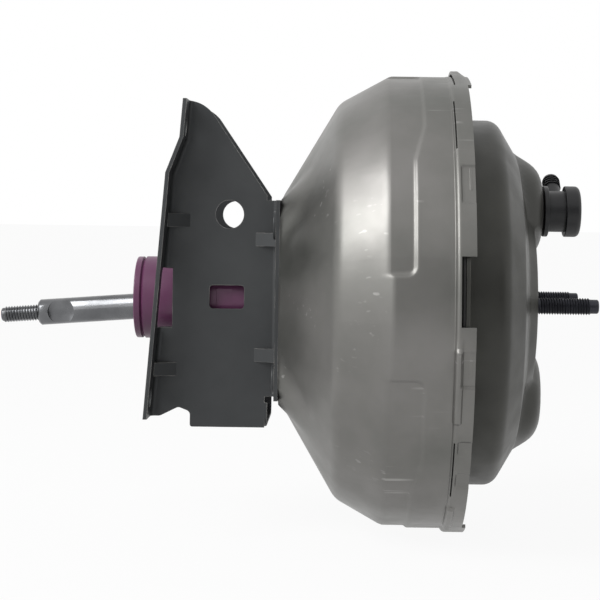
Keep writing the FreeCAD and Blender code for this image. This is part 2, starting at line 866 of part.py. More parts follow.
def valve_body():
    """Moulded valve body: long ported tail, hub flange and front neck."""
    hub_front = piston_web_station + piston_plate_sheet + hub_flange_thickness
    groove = tail_groove_station
    half = tail_groove_half_width
    line = [
        (tail_end_station, tail_bore, 0),
        (tail_end_station, tail_ring_radius, tail_edge),
        (groove - half, tail_ring_radius, 0),
        (groove, tail_ring_radius - tail_groove_depth, 0),
        (groove + half, tail_radius, 0),
        (hub_seat_station, tail_radius, 0),
        (hub_seat_station, hub_seat_radius, 0),
        (piston_web_station + piston_plate_sheet, hub_seat_radius, 0),
        (piston_web_station + piston_plate_sheet, hub_flange_radius, 0),
        (hub_front, hub_flange_radius, tail_edge),
        (hub_front, valve_neck_radius, tail_edge),
        (valve_front_station, valve_neck_radius, tail_edge),
        (valve_front_station, reaction_bore, 0),
        (reaction_floor_station, reaction_bore, 0),
        (reaction_floor_station, plunger_bore, 0),
        (inner_chamber_end, plunger_bore, 0),
        (inner_chamber_end, vacuum_seat_radius - vacuum_seat_width, 0),
        (poppet_chamber_end - vacuum_seat_height, vacuum_seat_radius - vacuum_seat_width, 0),
        (poppet_chamber_end - vacuum_seat_height, vacuum_seat_radius, 0),
        (poppet_chamber_end, vacuum_seat_radius, 0),
        (poppet_chamber_end, poppet_bore, 0),
        (tail_bore_end, poppet_bore, 0),
        (tail_bore_end, tail_bore, 0),
    ]
    body = turned(line)
    cuts = []
    for index in range(air_passage_count):
        angle = 45.0 + index * FULL_TURN / air_passage_count
        point = side_point(poppet_chamber_end - overshoot, air_passage_circle, angle)
        length = hub_front + 2 * overshoot - poppet_chamber_end
        cuts.append(Part.makeCylinder(air_passage_radius, length, point, AXIS_X))
    slot_rear = plunger_waist_station + running_gap - seat_gap
    slot_length = key_thickness + key_travel + 2 * seat_gap
    cuts.append(Part.makeBox(slot_length, key_width + 2 * seat_gap, tail_radius + overshoot,
                             Vector(slot_rear, -key_width / 2.0 - seat_gap,
                                    -tail_radius - overshoot)))
    cuts.append(Part.makeBox(side_pocket_front - side_pocket_rear, tail_radius,
                             side_pocket_top - side_pocket_bottom,
                             Vector(side_pocket_rear, -2 * tail_radius + side_pocket_depth,
                                    side_pocket_bottom)))
    return body.cut(cuts)


def piston_line():
    """Outline of the surface that the diaphragm and its plate share."""
    return [
        (piston_web_station, hub_seat_radius, 0),
        (piston_web_station, piston_web_radius, piston_web_corner),
        (piston_rim_station, piston_rim_radius, piston_rim_corner),
        (piston_rim_station + piston_rim_length, piston_rim_radius, 0),
    ]


def diaphragm_plate():
    """Pressed plate that carries the diaphragm's pressure to the valve body."""
    line = piston_line()
    inner = offset_line(line, piston_plate_sheet)
    return turned(line + inner[::-1])


def diaphragm():
    """Rubber diaphragm from the valve body, over the plate, to the clamped bead at the rim."""
    line = [
        (piston_web_station, hub_seat_radius, 0),
        (piston_web_station, piston_web_radius, piston_web_corner),
        (piston_rim_station, piston_rim_radius, piston_rim_corner),
        (roll_station, roll_radius, roll_corner),
        (bead_station, roll_radius, 0),
    ]
    outer = offset_line(line, -diaphragm_sheet)
    bead_end = front_flange_station - shell_sheet
    bead_radius = rim_radius - shell_sheet
    points = line[:-1]
    points.append((bead_end, roll_radius, bead_corner))
    points.append((bead_end, bead_radius, bead_corner))
    points.append((bead_station, bead_radius, bead_corner))
    points.append((bead_station, outer[-1][1], 0))
    points += outer[-2::-1]
    body = turned(points)
    bumpers = []
    rear = shell_sheet + seat_gap
    front = piston_web_station - diaphragm_sheet + joint_overlap
    for index in range(bumper_count):
        angle = index * FULL_TURN / bumper_count - bumper_span / 2.0
        bumpers.append(ring_sector(rear, front, bumper_radius - bumper_width / 2.0,
                                   bumper_radius + bumper_width / 2.0, angle, bumper_span))
    return fused([body] + bumpers)


def reaction_disc():
    """Rubber disc between valve body, plunger and output rod."""
    return ring(reaction_floor_station, reaction_floor_station + reaction_disc_thickness,
                0, reaction_bore - running_gap)


def output_rod():
    """Headed rod that pushes the master cylinder's piston."""
    start = reaction_floor_station + reaction_disc_thickness
    base_radius = reaction_bore - seat_gap
    line = [
        (start, 0, 0),
        (start, base_radius, 0),
        (start + output_rod_base_thickness, base_radius, output_rod_base_edge),
        (start + output_rod_base_thickness, output_rod_radius, output_rod_fillet),
        (output_rod_end_station, output_rod_radius, output_rod_base_edge),
        (output_rod_end_station, screw_shank_radius, 0),
        (output_rod_end_station - screw_shank_length - overshoot, screw_shank_radius, 0),
        (output_rod_end_station - screw_shank_length - overshoot, 0, 0),
    ]
    return turned(line)


def adjusting_screw():
    """Round-headed screw that sets the output rod's length."""
    shank_start = output_rod_end_station - screw_shank_length
    line = [
        (shank_start, 0, 0),
        (shank_start, screw_shank_radius, 0),
        (output_rod_end_station, screw_shank_radius, 0),
        (output_rod_end_station, screw_head_radius, 0),
        (screw_head_station, screw_head_radius, screw_head_edge),
        (screw_head_station, 0, 0),
    ]
    return turned(line)


def air_valve_plunger():
    """Plunger with a socket for the push rod's ball, a waist for the key and a rear lip."""
    back = plunger_lip_station
    lip_front = back + plunger_lip_thickness
    waist_end = plunger_waist_station + plunger_waist_length
    land = plunger_bore - running_gap
    socket = ball_radius + running_gap
    line = [
        (back, socket, 0),
        (back, plunger_lip_radius, plunger_edge),
        (lip_front, plunger_lip_radius, plunger_edge),
        (lip_front, land, 0),
        (plunger_waist_station, land, 0),
        (plunger_waist_station, plunger_waist_radius, 0),
        (waist_end, plunger_waist_radius, 0),
        (waist_end, land, 0),
        (plunger_front_station, land, plunger_edge),
        (plunger_front_station, 0, 0),
        (ball_station, 0, 0),
        (ball_station, socket, 0),
    ]
    body = turned(line)
    return body.cut(Part.makeSphere(socket, Vector(ball_station, 0, 0)))


def valve_key():
    """Flat fork that limits the plunger's travel in the valve body."""
    rear = plunger_waist_station + running_gap
    body = Part.makeBox(key_thickness, key_width, key_reach + plunger_waist_radius,
                        Vector(rear, -key_width / 2.0, -key_reach))
    waist = Part.makeCylinder(plunger_waist_radius + running_gap, key_thickness,
                              Vector(rear, 0, 0), AXIS_X)
    mouth = Part.makeBox(key_thickness, 2 * (plunger_waist_radius + running_gap),
                         plunger_waist_radius + overshoot,
                         Vector(rear, -plunger_waist_radius - running_gap, 0))
    land = Part.makeCylinder(plunger_bore - running_gap, key_thickness, Vector(rear, 0, 0), AXIS_X)
    tail = Part.makeBox(key_thickness, key_width, key_reach, Vector(rear, -key_width / 2.0, -key_reach))
    return body.common(land.fuse(tail)).cut(waist.fuse(mouth))


def poppet_valve():
    """Rubber poppet: sealing face, rolling wall and clamped bead."""
    face_back = poppet_face_station - poppet_face_thickness
    outer = poppet_bore - seat_gap
    bead = tail_bore - seat_gap
    edge = poppet_edge
    line = [
        (poppet_face_station, poppet_face_bore, edge),
        (poppet_face_station, outer, edge),
        (tail_bore_end, outer, 0),
        (tail_bore_end, bead, edge),
        (poppet_bead_station, bead, edge),
        (poppet_bead_station, outer - poppet_wall, 0),
        (face_back, outer - poppet_wall, edge),
        (face_back, poppet_face_bore, edge),
    ]
    return turned(line)


def poppet_retainer():
    """Pressed ring that holds the poppet's bead and seats both small springs."""
    front = poppet_bead_station
    line = [
        (front, retainer_bore, 0),
        (front, tail_bore, 0),
        (front - retainer_depth, tail_bore, 0),
        (front - retainer_depth, tail_bore - retainer_thickness, 0),
        (front - retainer_thickness, tail_bore - retainer_thickness, 0),
        (front - retainer_thickness, retainer_bore, 0),
    ]
    return turned(line)


def push_rod():
    """Pedal push rod: ball end, neck, thick shank with two wrench flats and a threaded tip."""
    shank_front = rod_neck_station
    line = [
        (rod_tip_station, 0, 0),
        (rod_tip_station, rod_thread_radius - rod_tip_chamfer, 0),
        (rod_tip_station + rod_tip_chamfer, rod_thread_radius, 0),
        (rod_shoulder_station, rod_thread_radius, 0),
        (rod_shoulder_station, rod_radius - rod_chamfer, 0),
        (rod_shoulder_station + rod_chamfer, rod_radius, 0),
        (shank_front, rod_radius, 0),
        (shank_front, rod_collar_radius, rod_collar_edge),
        (shank_front + rod_collar_thickness, rod_collar_radius, rod_collar_edge),
        (shank_front + rod_collar_thickness, rod_neck_radius, 0),
        (ball_station, rod_neck_radius, 0),
        (ball_station, 0, 0),
    ]
    body = turned(line).fuse(Part.makeSphere(ball_radius, Vector(ball_station, 0, 0)))
    for side in (1, -1):
        start = Vector(flat_station, side * flat_half_across, 0)
        body = body.cut(Part.makeCylinder(flat_cutter_radius, rod_radius, start, AXIS_Y * side))
    body = body.removeSplitter()
    body.rotate(Vector(ball_station, 0, 0), AXIS_Y, -rod_droop)
    return body


def air_filter():
    """Felt filter ring at the tail's open end."""
    return ring(filter_rear_station, filter_joint_station, filter_bore, tail_bore)


def air_silencer():
    """Open-cell ring in front of the filter that quietens the air."""
    return ring(filter_joint_station, filter_front_station, filter_bore, tail_bore)


def poppet_spring():
    """Spring that presses the poppet's face against its seats."""
    return coil(poppet_spring_radius, poppet_spring_wire, poppet_bead_station,
                poppet_face_station - poppet_face_thickness, poppet_spring_turns)


def rod_return_spring():
    """Spring between the push rod's collar and the poppet's retainer."""
    return coil(rod_spring_radius, rod_spring_wire,
                rod_neck_station + rod_collar_thickness + rod_spring_tilt_gap,
                poppet_bead_station - retainer_thickness, rod_spring_turns)


def spring_seat():
    """Washer under the return spring on the hub flange."""
    start = piston_web_station + piston_plate_sheet + hub_flange_thickness
    return ring(start, start + spring_seat_thickness, valve_neck_radius + tail_edge,
                spring_seat_radius)


def return_spring():
    """Large spring that brings the piston back."""
    start = piston_web_station + piston_plate_sheet + hub_flange_thickness + spring_seat_thickness
    end = seat_station - shell_sheet - stud_plate_thickness
    return coil(return_spring_radius, return_spring_wire, start, end, return_spring_turns)


def rear_seal():
    """Lip seal between the rear shell's collar and the valve body's tail."""
    front = rear_seal_station + rear_seal_length
    lip = tail_radius + running_gap
    line = [
        (rear_seal_station, lip, 0),
        (rear_seal_station, rear_collar_bore - shell_sheet, 0),
        (rear_seal_station + shell_sheet, rear_collar_bore, 0),
        (front, rear_collar_bore, 0),
        (front, lip + rear_seal_groove, 0),
        (rear_seal_station + rear_seal_lip, lip + rear_seal_groove, 0),
        (rear_seal_station + rear_seal_lip, lip, 0),
    ]
    return turned(line)


def rear_seal_retainer():
    """Bearing ring that keeps the rear seal in the collar and guides the tail."""
    start = rear_seal_station + rear_seal_length
    return ring(start, start + rear_retainer_thickness, tail_radius + running_gap, rear_collar_bore)


def front_seal():
    """Lip seal between the front shell's collar and the output rod."""
    start = seat_station - pilot_depth
    return ring(start, start + front_seal_length, output_rod_radius + running_gap,
                seal_bore_radius)


def at_check_height(body):
    """Move a piece made on the booster axis to the check valve's axis."""
    body.translate(Vector(0, 0, check_height))
    return body


def check_valve_grommet():
    """Rubber grommet that seals the check valve in the upper lobe."""
    lobe_back = lobe_top_station - shell_sheet
    lip_back = lobe_back - grommet_lip_length
    front = lobe_top_station + grommet_flange_thickness
    line = [
        (lip_back, check_stem_radius, 0),
        (lip_back, grommet_hole - grommet_lip_taper, 0),
        (lobe_back - grommet_lip_edge, grommet_hole + grommet_lip_rise, 0),
        (lobe_back, grommet_hole + grommet_lip_rise, 0),
        (lobe_back, grommet_hole, 0),
        (lobe_top_station, grommet_hole, 0),
        (lobe_top_station, grommet_flange_radius, 0),
        (front, grommet_flange_radius, 0),
        (front, check_stem_radius, 0),
    ]
    return at_check_height(turned(line))


def nipple_line():
    """Outline of the barbed hose nipple along its own axis."""
    points = [(0, 0, 0), (0, nipple_neck_radius, 0)]
    first = nipple_reach - nipple_barb_count * nipple_barb_pitch
    for index in range(nipple_barb_count):
        start = first + index * nipple_barb_pitch
        points.append((start, nipple_neck_radius, 0))
        points.append((start, nipple_barb_radius, 0))
    points.append((nipple_reach, nipple_neck_radius, 0))
    points.append((nipple_reach, 0, 0))
    return points


def along_nipple(body):
    """Turn a piece made on the booster axis to the nipple's own axis."""
    body.rotate(Vector(0, 0, 0), AXIS_Z, 90.0)
    body.rotate(Vector(0, 0, 0), AXIS_X, nipple_elevation)
    body.translate(Vector(nipple_station, 0, 0))
    return body


def check_valve_body():
    """Hollow valve housing with a barbed side nipple and a stem through the grommet."""
    stem = check_stem_radius - running_gap
    flange = lobe_top_station + grommet_flange_thickness + seat_gap
    line = [
        (check_stem_station, check_stem_bore, 0),
        (check_stem_station, stem, check_edge),
        (flange, stem, 0),
        (flange, check_flange_radius, check_edge),
        (check_groove_station, check_flange_radius, check_edge),
        (check_groove_station, check_groove_radius, 0),
        (check_cap_station, check_groove_radius, 0),
        (check_cap_station, check_bore, 0),
        (check_seat_station, check_bore, 0),
        (check_seat_station, check_stem_bore, 0),
    ]
    body = turned(line)
    chamber = ring(check_seat_station, check_bore_end, 0, check_bore)
    nipple = along_nipple(turned(nipple_line())).cut(chamber)
    body = fused([body, nipple])
    hole = along_nipple(ring(0, nipple_reach + overshoot, 0, nipple_bore))
    return at_check_height(body.cut(hole))


def check_valve_cap():
    """Cap welded over the check valve's housing, with the spring's seat inside."""
    line = [
        (check_cap_station, check_bore, 0),
        (check_cap_station, check_flange_radius, check_edge),
        (check_end_station, check_flange_radius, check_cap_corner),
        (check_end_station, 0, 0),
        (check_bore_end, 0, 0),
        (check_bore_end, check_bore, 0),
    ]
    return at_check_height(turned(line))


def check_valve_disc():
    """Rubber-faced disc that closes the vacuum port."""
    start = check_seat_station
    return at_check_height(ring(start, start + check_disc_thickness, 0, check_disc_radius))


def check_valve_spring():
    """Light spring that closes the check valve's disc."""
    start = check_seat_station + check_disc_thickness
    return at_check_height(coil(check_spring_radius, check_spring_wire, start, check_bore_end,
                                check_spring_turns))


PIECES = (
    rear_shell, front_shell, mounting_bracket, bracket_rivets, master_cylinder_studs, stud_plate,
    valve_body, diaphragm_plate, diaphragm, reaction_disc, output_rod, adjusting_screw,
    air_valve_plunger, valve_key, poppet_valve, poppet_retainer, poppet_spring, push_rod,
    rod_return_spring, air_filter, air_silencer, spring_seat, return_spring, rear_seal,
    rear_seal_retainer, front_seal, check_valve_grommet, check_valve_body, check_valve_cap,
    check_valve_disc, check_valve_spring,
)


def write_pieces():
    """Write each piece to its own file, with the master cylinder seat at the origin."""
    os.makedirs("parts", exist_ok=True)
    for make in PIECES:
        shape = make()
        shape.translate(Vector(-seat_station, 0, 0))
        shape.exportStep("parts/" + make.__name__ + ".step")
        print(make.__name__, len(shape.Solids), round(shape.Volume, 1), shape.isValid())


write_pieces()
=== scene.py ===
# %% [markdown]
# # A vacuum brake booster, dressed in Blender
#
# The booster sits between the firewall and the brake master cylinder. Engine vacuum in its round
# steel housing helps the driver's foot. This file takes the CAD model as a fixed frame, rebuilds
# the pieces whose look depends on pressed or rolled metal, and gives every surface its finish.
# All places are in metres, with +X towards the master cylinder and +Z up.

# %% Load the CAD frame
import json
import math
import bpy
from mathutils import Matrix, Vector


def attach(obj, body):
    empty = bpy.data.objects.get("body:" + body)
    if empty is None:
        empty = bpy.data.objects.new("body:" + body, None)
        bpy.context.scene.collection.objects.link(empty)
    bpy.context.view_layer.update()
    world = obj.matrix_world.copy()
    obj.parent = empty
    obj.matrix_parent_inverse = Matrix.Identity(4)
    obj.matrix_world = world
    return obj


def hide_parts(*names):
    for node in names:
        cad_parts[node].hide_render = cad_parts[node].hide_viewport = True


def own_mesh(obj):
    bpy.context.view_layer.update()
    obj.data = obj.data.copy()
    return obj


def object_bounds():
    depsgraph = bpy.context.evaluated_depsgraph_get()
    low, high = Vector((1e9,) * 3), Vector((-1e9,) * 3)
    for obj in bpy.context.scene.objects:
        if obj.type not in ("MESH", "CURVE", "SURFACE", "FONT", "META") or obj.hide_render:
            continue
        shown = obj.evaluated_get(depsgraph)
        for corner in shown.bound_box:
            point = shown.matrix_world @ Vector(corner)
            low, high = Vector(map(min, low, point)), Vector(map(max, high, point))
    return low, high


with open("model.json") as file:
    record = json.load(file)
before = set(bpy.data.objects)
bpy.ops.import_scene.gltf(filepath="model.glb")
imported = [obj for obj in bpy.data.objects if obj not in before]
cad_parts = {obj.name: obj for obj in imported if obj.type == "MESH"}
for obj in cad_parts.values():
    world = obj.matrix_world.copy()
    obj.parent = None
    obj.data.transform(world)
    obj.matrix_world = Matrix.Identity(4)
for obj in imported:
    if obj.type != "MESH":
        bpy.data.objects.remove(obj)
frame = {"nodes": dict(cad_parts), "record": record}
cad_low, cad_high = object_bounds()
bpy.ops.object.select_all(action="DESELECT")
print("CAD box in mm:", [round(v * 1000, 1) for v in cad_high - cad_low])

# %% [markdown]
# ## Places along the axis
#
# A maker of turned and pressed parts counts stations along one axis. Here they are millimetres from
# the flat back of the rear shell, because that is the face a press shop would measure from. The
# row's origin lies at the master cylinder's seat, so each station is shifted on its way to metres.

# %% Stations to points
MM = 0.001
SEAT = 152.2


def place(station, y=0.0, z=0.0):
    return Vector(((station - SEAT) * MM, y * MM, z * MM))


def on_side(station, radius, angle):
    """Point at a radius and an angle above the near side, which is -Y."""
    turn = math.radians(angle)
    return place(station, -radius * math.cos(turn), radius * math.sin(turn))


def ease(value):
    """Smooth step from 0 to 1."""
    value = max(0.0, min(1.0, value))
    return value * value * (3 - 2 * value)


def soft_least(a, b, reach):
    """The smaller of two numbers, with a rounded changeover."""
    mix = max(0.0, min(1.0, 0.5 + 0.5 * (b - a) / reach))
    return b + (a - b) * mix - reach * mix * (1 - mix)


def soft_most(a, b, reach):
    return -soft_least(-a, -b, reach)


print("seat at", tuple(place(SEAT)), "rod tip near", tuple(place(-174)))

# %% [markdown]
# ## Helpers that work as hands do
#
# Blender's operators act on what is selected. These helpers keep that in order: one piece is
# active at a time, a modifier is applied as soon as it is set, and each finished piece has its
# place in its mesh and not in its object, as the CAD nodes do.

# %% Selecting, applying and naming
def hold(piece):
    """Make one piece the only selected and active one."""
    bpy.ops.object.select_all(action="DESELECT")
    piece.select_set(True)
    bpy.context.view_layer.objects.active = piece


def settle(piece, name):
    """Name a piece and put its place into its mesh."""
    hold(piece)
    bpy.ops.object.transform_apply(location=True, rotation=True, scale=True)
    piece.name = name
    piece.data.name = name
    return piece


def apply_modifier(piece, kind, **settings):
    hold(piece)
    modifier = piece.modifiers.new(kind.lower(), kind)
    for key, value in settings.items():
        setattr(modifier, key, value)
    bpy.ops.object.modifier_apply(modifier=modifier.name)


def cut_away(piece, cutter):
    """Remove a cutter's volume from a piece, as a drill or mill does."""
    apply_modifier(piece, "BOOLEAN", operation="DIFFERENCE", solver="EXACT", object=cutter)
    bpy.data.objects.remove(cutter, do_unlink=True)


def smooth(piece, angle):
    """Shade soft wherever faces meet at less than this angle in degrees."""
    hold(piece)
    bpy.ops.object.shade_smooth_by_angle(angle=math.radians(angle))


def join(pieces, name):
    """Make several meshes one piece."""
    bpy.ops.object.select_all(action="DESELECT")
    for piece in pieces:
        piece.select_set(True)
    bpy.context.view_layer.objects.active = pieces[0]
    bpy.ops.object.join()
    return settle(pieces[0], name)


def drill(station, radius, length, y=0.0, z=0.0, axis="X"):
    """A cylinder used as a cutter, along X or Y."""
    turn = (0, math.pi / 2, 0) if axis == "X" else (math.pi / 2, 0, 0)
    bpy.ops.mesh.primitive_cylinder_add(vertices=64, radius=radius * MM, depth=length * MM,
                                        location=place(station, y, z), rotation=turn)
    return bpy.context.object


# %% [markdown]
# ## How a turned piece is made
#
# A lathe leaves rings of different diameters along one axis. The same thing is done here with a
# filled circle: it is extruded to the next station and scaled to the next radius, over and over.
# That keeps clean rings of quads and closes both ends.

# %% Turned pieces
def turned_piece(name, outline, sides=72):
    """Solid of revolution on the axis from (station, radius) pairs in millimetres."""
    station, radius = outline[0]
    bpy.ops.object.select_all(action="DESELECT")
    bpy.ops.mesh.primitive_circle_add(vertices=sides, radius=radius * MM, fill_type="NGON",
                                      location=place(station), rotation=(0, math.pi / 2, 0))
    piece = settle(bpy.context.object, name)
    bpy.ops.object.mode_set(mode="EDIT")
    bpy.ops.mesh.select_all(action="SELECT")
    for next_station, next_radius in outline[1:]:
        step = ((next_station - station) * MM, 0, 0)
        bpy.ops.mesh.extrude_region_move(TRANSFORM_OT_translate={"value": step})
        grow = next_radius / radius
        if abs(grow - 1) > 1e-6:
            bpy.ops.transform.resize(value=(1, grow, grow), center_override=place(next_station))
        station, radius = next_station, next_radius
    bpy.ops.mesh.select_all(action="SELECT")
    bpy.ops.mesh.normals_make_consistent(inside=False)
    bpy.ops.object.mode_set(mode="OBJECT")
    print(name, "rings", len(outline), "faces", len(piece.data.polygons))
    return piece


def arc_points(station, radius, first, last, count):
    """(station, radius) pairs on a circle about a point of the axis, between two angles."""
    points = []
    for index in range(count + 1):
        turn = math.radians(first + (last - first) * index / count)
        points.append((station + radius * math.cos(turn), radius * math.sin(turn)))
    return points


# %% [markdown]
# ## How a rolled thread is made
#
# Threads on studs and rods are rolled: a ridge runs round a core. Only its small section is drawn,
# and a Screw modifier sweeps it along the axis. The ridge fades at both ends, as the rolled one
# does, so it doesn't stop as a step.

# %% Thread ridge
THREAD_STEPS = 28
FLANK_SHARE, CREST_SHARE = 0.45, 0.07
RIDGE_SINK = 0.12
FADE_TURNS = 0.6
LEAST_RIDGE = 0.06


def thread_ridge(name, start, end, core, crest, pitch):
    """Ridge of a thread between two stations, sunk a little into its core."""
    turns = int((end - start) / pitch)
    low, high = FLANK_SHARE * pitch, CREST_SHARE * pitch
    foot = core - RIDGE_SINK
    corners = ((-low, foot), (-high, crest), (high, crest), (low, foot))
    bpy.ops.object.select_all(action="DESELECT")
    bpy.ops.mesh.primitive_plane_add(size=MM)
    piece = settle(bpy.context.object, name)
    bpy.ops.object.mode_set(mode="EDIT")
    bpy.ops.mesh.select_all(action="SELECT")
    bpy.ops.mesh.delete(type="ONLY_FACE")
    bpy.ops.object.mode_set(mode="OBJECT")
    order = (0, 1, 3, 2)
    for vertex_index, (along, radius) in zip(order, corners):
        piece.data.vertices[vertex_index].co = place(start + pitch / 2 + along, 0, radius)
    # The Screw modifier turns about the object's own axis, which is the booster's here.
    apply_modifier(piece, "SCREW", axis="X", angle=math.tau, screw_offset=pitch * MM,
                   iterations=turns, steps=THREAD_STEPS, render_steps=THREAD_STEPS,
                   use_merge_vertices=False, use_smooth_shade=True)
    last = turns * THREAD_STEPS
    for index, vertex in enumerate(piece.data.vertices):
        step = index // 4
        fade = ease(min(step, last - step) / (FADE_TURNS * THREAD_STEPS))
        radius = math.hypot(vertex.co.y, vertex.co.z)
        new = foot * MM + (radius - foot * MM) * max(fade, LEAST_RIDGE)
        vertex.co.y *= new / radius
        vertex.co.z *= new / radius
    bpy.ops.object.mode_set(mode="EDIT")
    bpy.ops.mesh.select_all(action="SELECT")
    bpy.ops.mesh.fill_holes(sides=4)
    bpy.ops.mesh.select_all(action="SELECT")
    bpy.ops.mesh.normals_make_consistent(inside=False)
    bpy.ops.object.mode_set(mode="OBJECT")
    print(name, "turns", turns, "faces", len(piece.data.polygons))
    return piece


# %% [markdown]
# ## How a bent outline is drawn
#
# A pressing is easiest to describe by the corners that its outline would have without any bends,
# each with the radius of its bend. Sheet can't be bent sharply, so most corners are rounded here.
# The line is then divided finely enough for the forms that are pressed into it.

# %% Outline with rounded bends
BEND_STEPS = 6


def unit(dx, dy):
    length = math.hypot(dx, dy)
    return dx / length, dy / length


def bent_outline(corners, spacing):
    """(station, radius) samples along corners of (station, radius, bend radius)."""
    samples = [corners[0][:2]]
    for before, corner, after in zip(corners, corners[1:], corners[2:]):
        bend = corner[2]
        if bend <= 0:
            samples.append(corner[:2])
            continue
        ax, ay = unit(before[0] - corner[0], before[1] - corner[1])
        bx, by = unit(after[0] - corner[0], after[1] - corner[1])
        half = math.acos(max(-1.0, min(1.0, ax * bx + ay * by))) / 2
        mx, my = unit(ax + bx, ay + by)
        centre = (corner[0] + mx * bend / math.sin(half), corner[1] + my * bend / math.sin(half))
        reach = bend / math.tan(half)
        first = math.atan2(corner[1] + ay * reach - centre[1], corner[0] + ax * reach - centre[0])
        last = math.atan2(corner[1] + by * reach - centre[1], corner[0] + bx * reach - centre[0])
        sweep = (last - first + math.pi) % math.tau - math.pi
        for index in range(BEND_STEPS + 1):
            turn = first + sweep * index / BEND_STEPS
            samples.append((centre[0] + bend * math.cos(turn), centre[1] + bend * math.sin(turn)))
    samples.append(corners[-1][:2])
    dense = [samples[0]]
    for a, b in zip(samples, samples[1:]):
        length = math.hypot(b[0] - a[0], b[1] - a[1])
        if length < 1e-6:
            continue
        count = max(1, math.ceil(length / spacing((a[0] + b[0]) / 2, (a[1] + b[1]) / 2)))
        for index in range(1, count + 1):
            dense.append((a[0] + (b[0] - a[0]) * index / count,
                          a[1] + (b[1] - a[1]) * index / count))
    return dense


# %% [markdown]
# ## How a pressed sheet is made
#
# A press shop starts with flat sheet and gives it form. Here a flat grid is the sheet. Each row of
# the grid is one station of the outline and each column one direction round the axis. The grid is
# rolled into a cup, its seam is welded, punched areas are deleted and a Solidify modifier gives the
# sheet its thickness on the inside, so the outside keeps its measured size.

# %% Rolling a sheet into a cup
def unpunched(station, radius, angle):
    return False


def pressed_sheet(name, outline, angles, form, punched, thickness):
    """Roll a grid into a cup; form moves a point, punched says which faces are cut out."""
    rows, columns = len(outline) - 1, len(angles) - 1
    bpy.ops.object.select_all(action="DESELECT")
    bpy.ops.mesh.primitive_grid_add(x_subdivisions=columns, y_subdivisions=rows, size=1)
    piece = settle(bpy.context.object, name)
    where = {}
    for vertex in piece.data.vertices:
        column = round((vertex.co.x + 0.5) * columns)
        row = round((vertex.co.y + 0.5) * rows)
        where[vertex.index] = (column, row)
        station, radius = outline[row]
        station, radius = form(station, radius, angles[column])
        vertex.co = on_side(station, radius, angles[column])
    piece.data.update()
    chosen = []
    for face in piece.data.polygons:
        cells = [where[index] for index in face.vertices]
        left, right = min(c[0] for c in cells), max(c[0] for c in cells)
        low, high = min(c[1] for c in cells), max(c[1] for c in cells)
        middle = (angles[left] + angles[right]) / 2
        station = (outline[low][0] + outline[high][0]) / 2
        radius = (outline[low][1] + outline[high][1]) / 2
        if punched(station, radius, middle):
            chosen.append(face.index)
    bpy.ops.object.mode_set(mode="EDIT")
    bpy.ops.mesh.select_mode(type="FACE")
    bpy.ops.mesh.select_all(action="DESELECT")
    bpy.ops.object.mode_set(mode="OBJECT")
    for index in chosen:
        piece.data.polygons[index].select = True
    bpy.ops.object.mode_set(mode="EDIT")
    bpy.ops.mesh.delete(type="FACE")
    bpy.ops.mesh.select_all(action="SELECT")
    bpy.ops.mesh.remove_doubles(threshold=1e-6)
    bpy.ops.object.mode_set(mode="OBJECT")
    face = max(piece.data.polygons, key=lambda f: f.center.x * form.faces)
    if face.normal.x * form.faces < 0:
        bpy.ops.object.mode_set(mode="EDIT")
        bpy.ops.mesh.select_all(action="SELECT")
        bpy.ops.mesh.flip_normals()
        bpy.ops.object.mode_set(mode="OBJECT")
    apply_modifier(piece, "SOLIDIFY", thickness=thickness * MM, offset=-1.0,
                   use_even_offset=True, thickness_clamp=0.0)
    print(name, "rows", rows, "columns", columns, "faces", len(piece.data.polygons))
    return piece


# %% [markdown]
# ## How a bent strip is made
#
# Tabs and bumpers are short blocks that follow the round of the housing. A cube is divided, and
# each of its points is laid at its own station, radius and angle. A small bevel takes off the
# sharp edge that no punched or moulded piece has.

# %% Bent strips
STRIP_EDGE = 0.35


def bent_strip(name, station, length, inner, outer, angle, span):
    """Small curved block that follows the housing's round, such as a bent tab."""
    bpy.ops.object.select_all(action="DESELECT")
    bpy.ops.mesh.primitive_cube_add(size=1)
    piece = settle(bpy.context.object, name)
    bpy.ops.object.mode_set(mode="EDIT")
    bpy.ops.mesh.select_all(action="SELECT")
    bpy.ops.mesh.subdivide(number_cuts=3)
    bpy.ops.object.mode_set(mode="OBJECT")
    for vertex in piece.data.vertices:
        x, y, z = vertex.co
        vertex.co = on_side(station + (x + 0.5) * length, inner + (outer - inner) * (z + 0.5),
                            angle + span * (y + 0.5))
    bpy.ops.object.mode_set(mode="EDIT")
    bpy.ops.mesh.select_all(action="SELECT")
    bpy.ops.mesh.normals_make_consistent(inside=False)
    bpy.ops.object.mode_set(mode="OBJECT")
    apply_modifier(piece, "BEVEL", width=STRIP_EDGE * MM, segments=2, limit_method="ANGLE",
                   angle_limit=math.radians(50))
    return piece


# %% [markdown]
# ## Rear shell: pad and panels
#
# The rear shell is one deep drawing in steel. Its back is flat round the valve body's hole, with a
# square pad under the bracket. The wall opens as a cone, turns into a cylinder, and four long
# panels are pressed a little inwards to stiffen it. Rounded borders catch the light and make it
# look pressed, so the panels are formed as soft steps and not as sharp cuts.

# %% Pad and panels
SHEET = 2.0
CYLINDER = 138.2
RECESS = 1.4
# Each panel has the angle at which it starts, and how far on the middle of its slant lies.
PANELS = ((8.0, 34.8), (98.0, 41.0), (183.0, 34.8), (268.0, 48.0))
PANEL_SPAN = 77.0
PANEL_BORDER = 2.6
PANEL_CORNER = 6.0
NARROW_END, WIDE_END = 77.8, 83.5
SLANT_SPAN = 11.0
PAD_HALF_WIDTH, PAD_HALF_HEIGHT, PAD_CORNER = 56.5, 61.0, 16.0


def rounded_inside(across, along, corner):
    """Distance inside a border whose two sides meet in a rounded corner."""
    if across < corner and along < corner:
        return corner - math.hypot(corner - across, corner - along)
    return min(across, along)


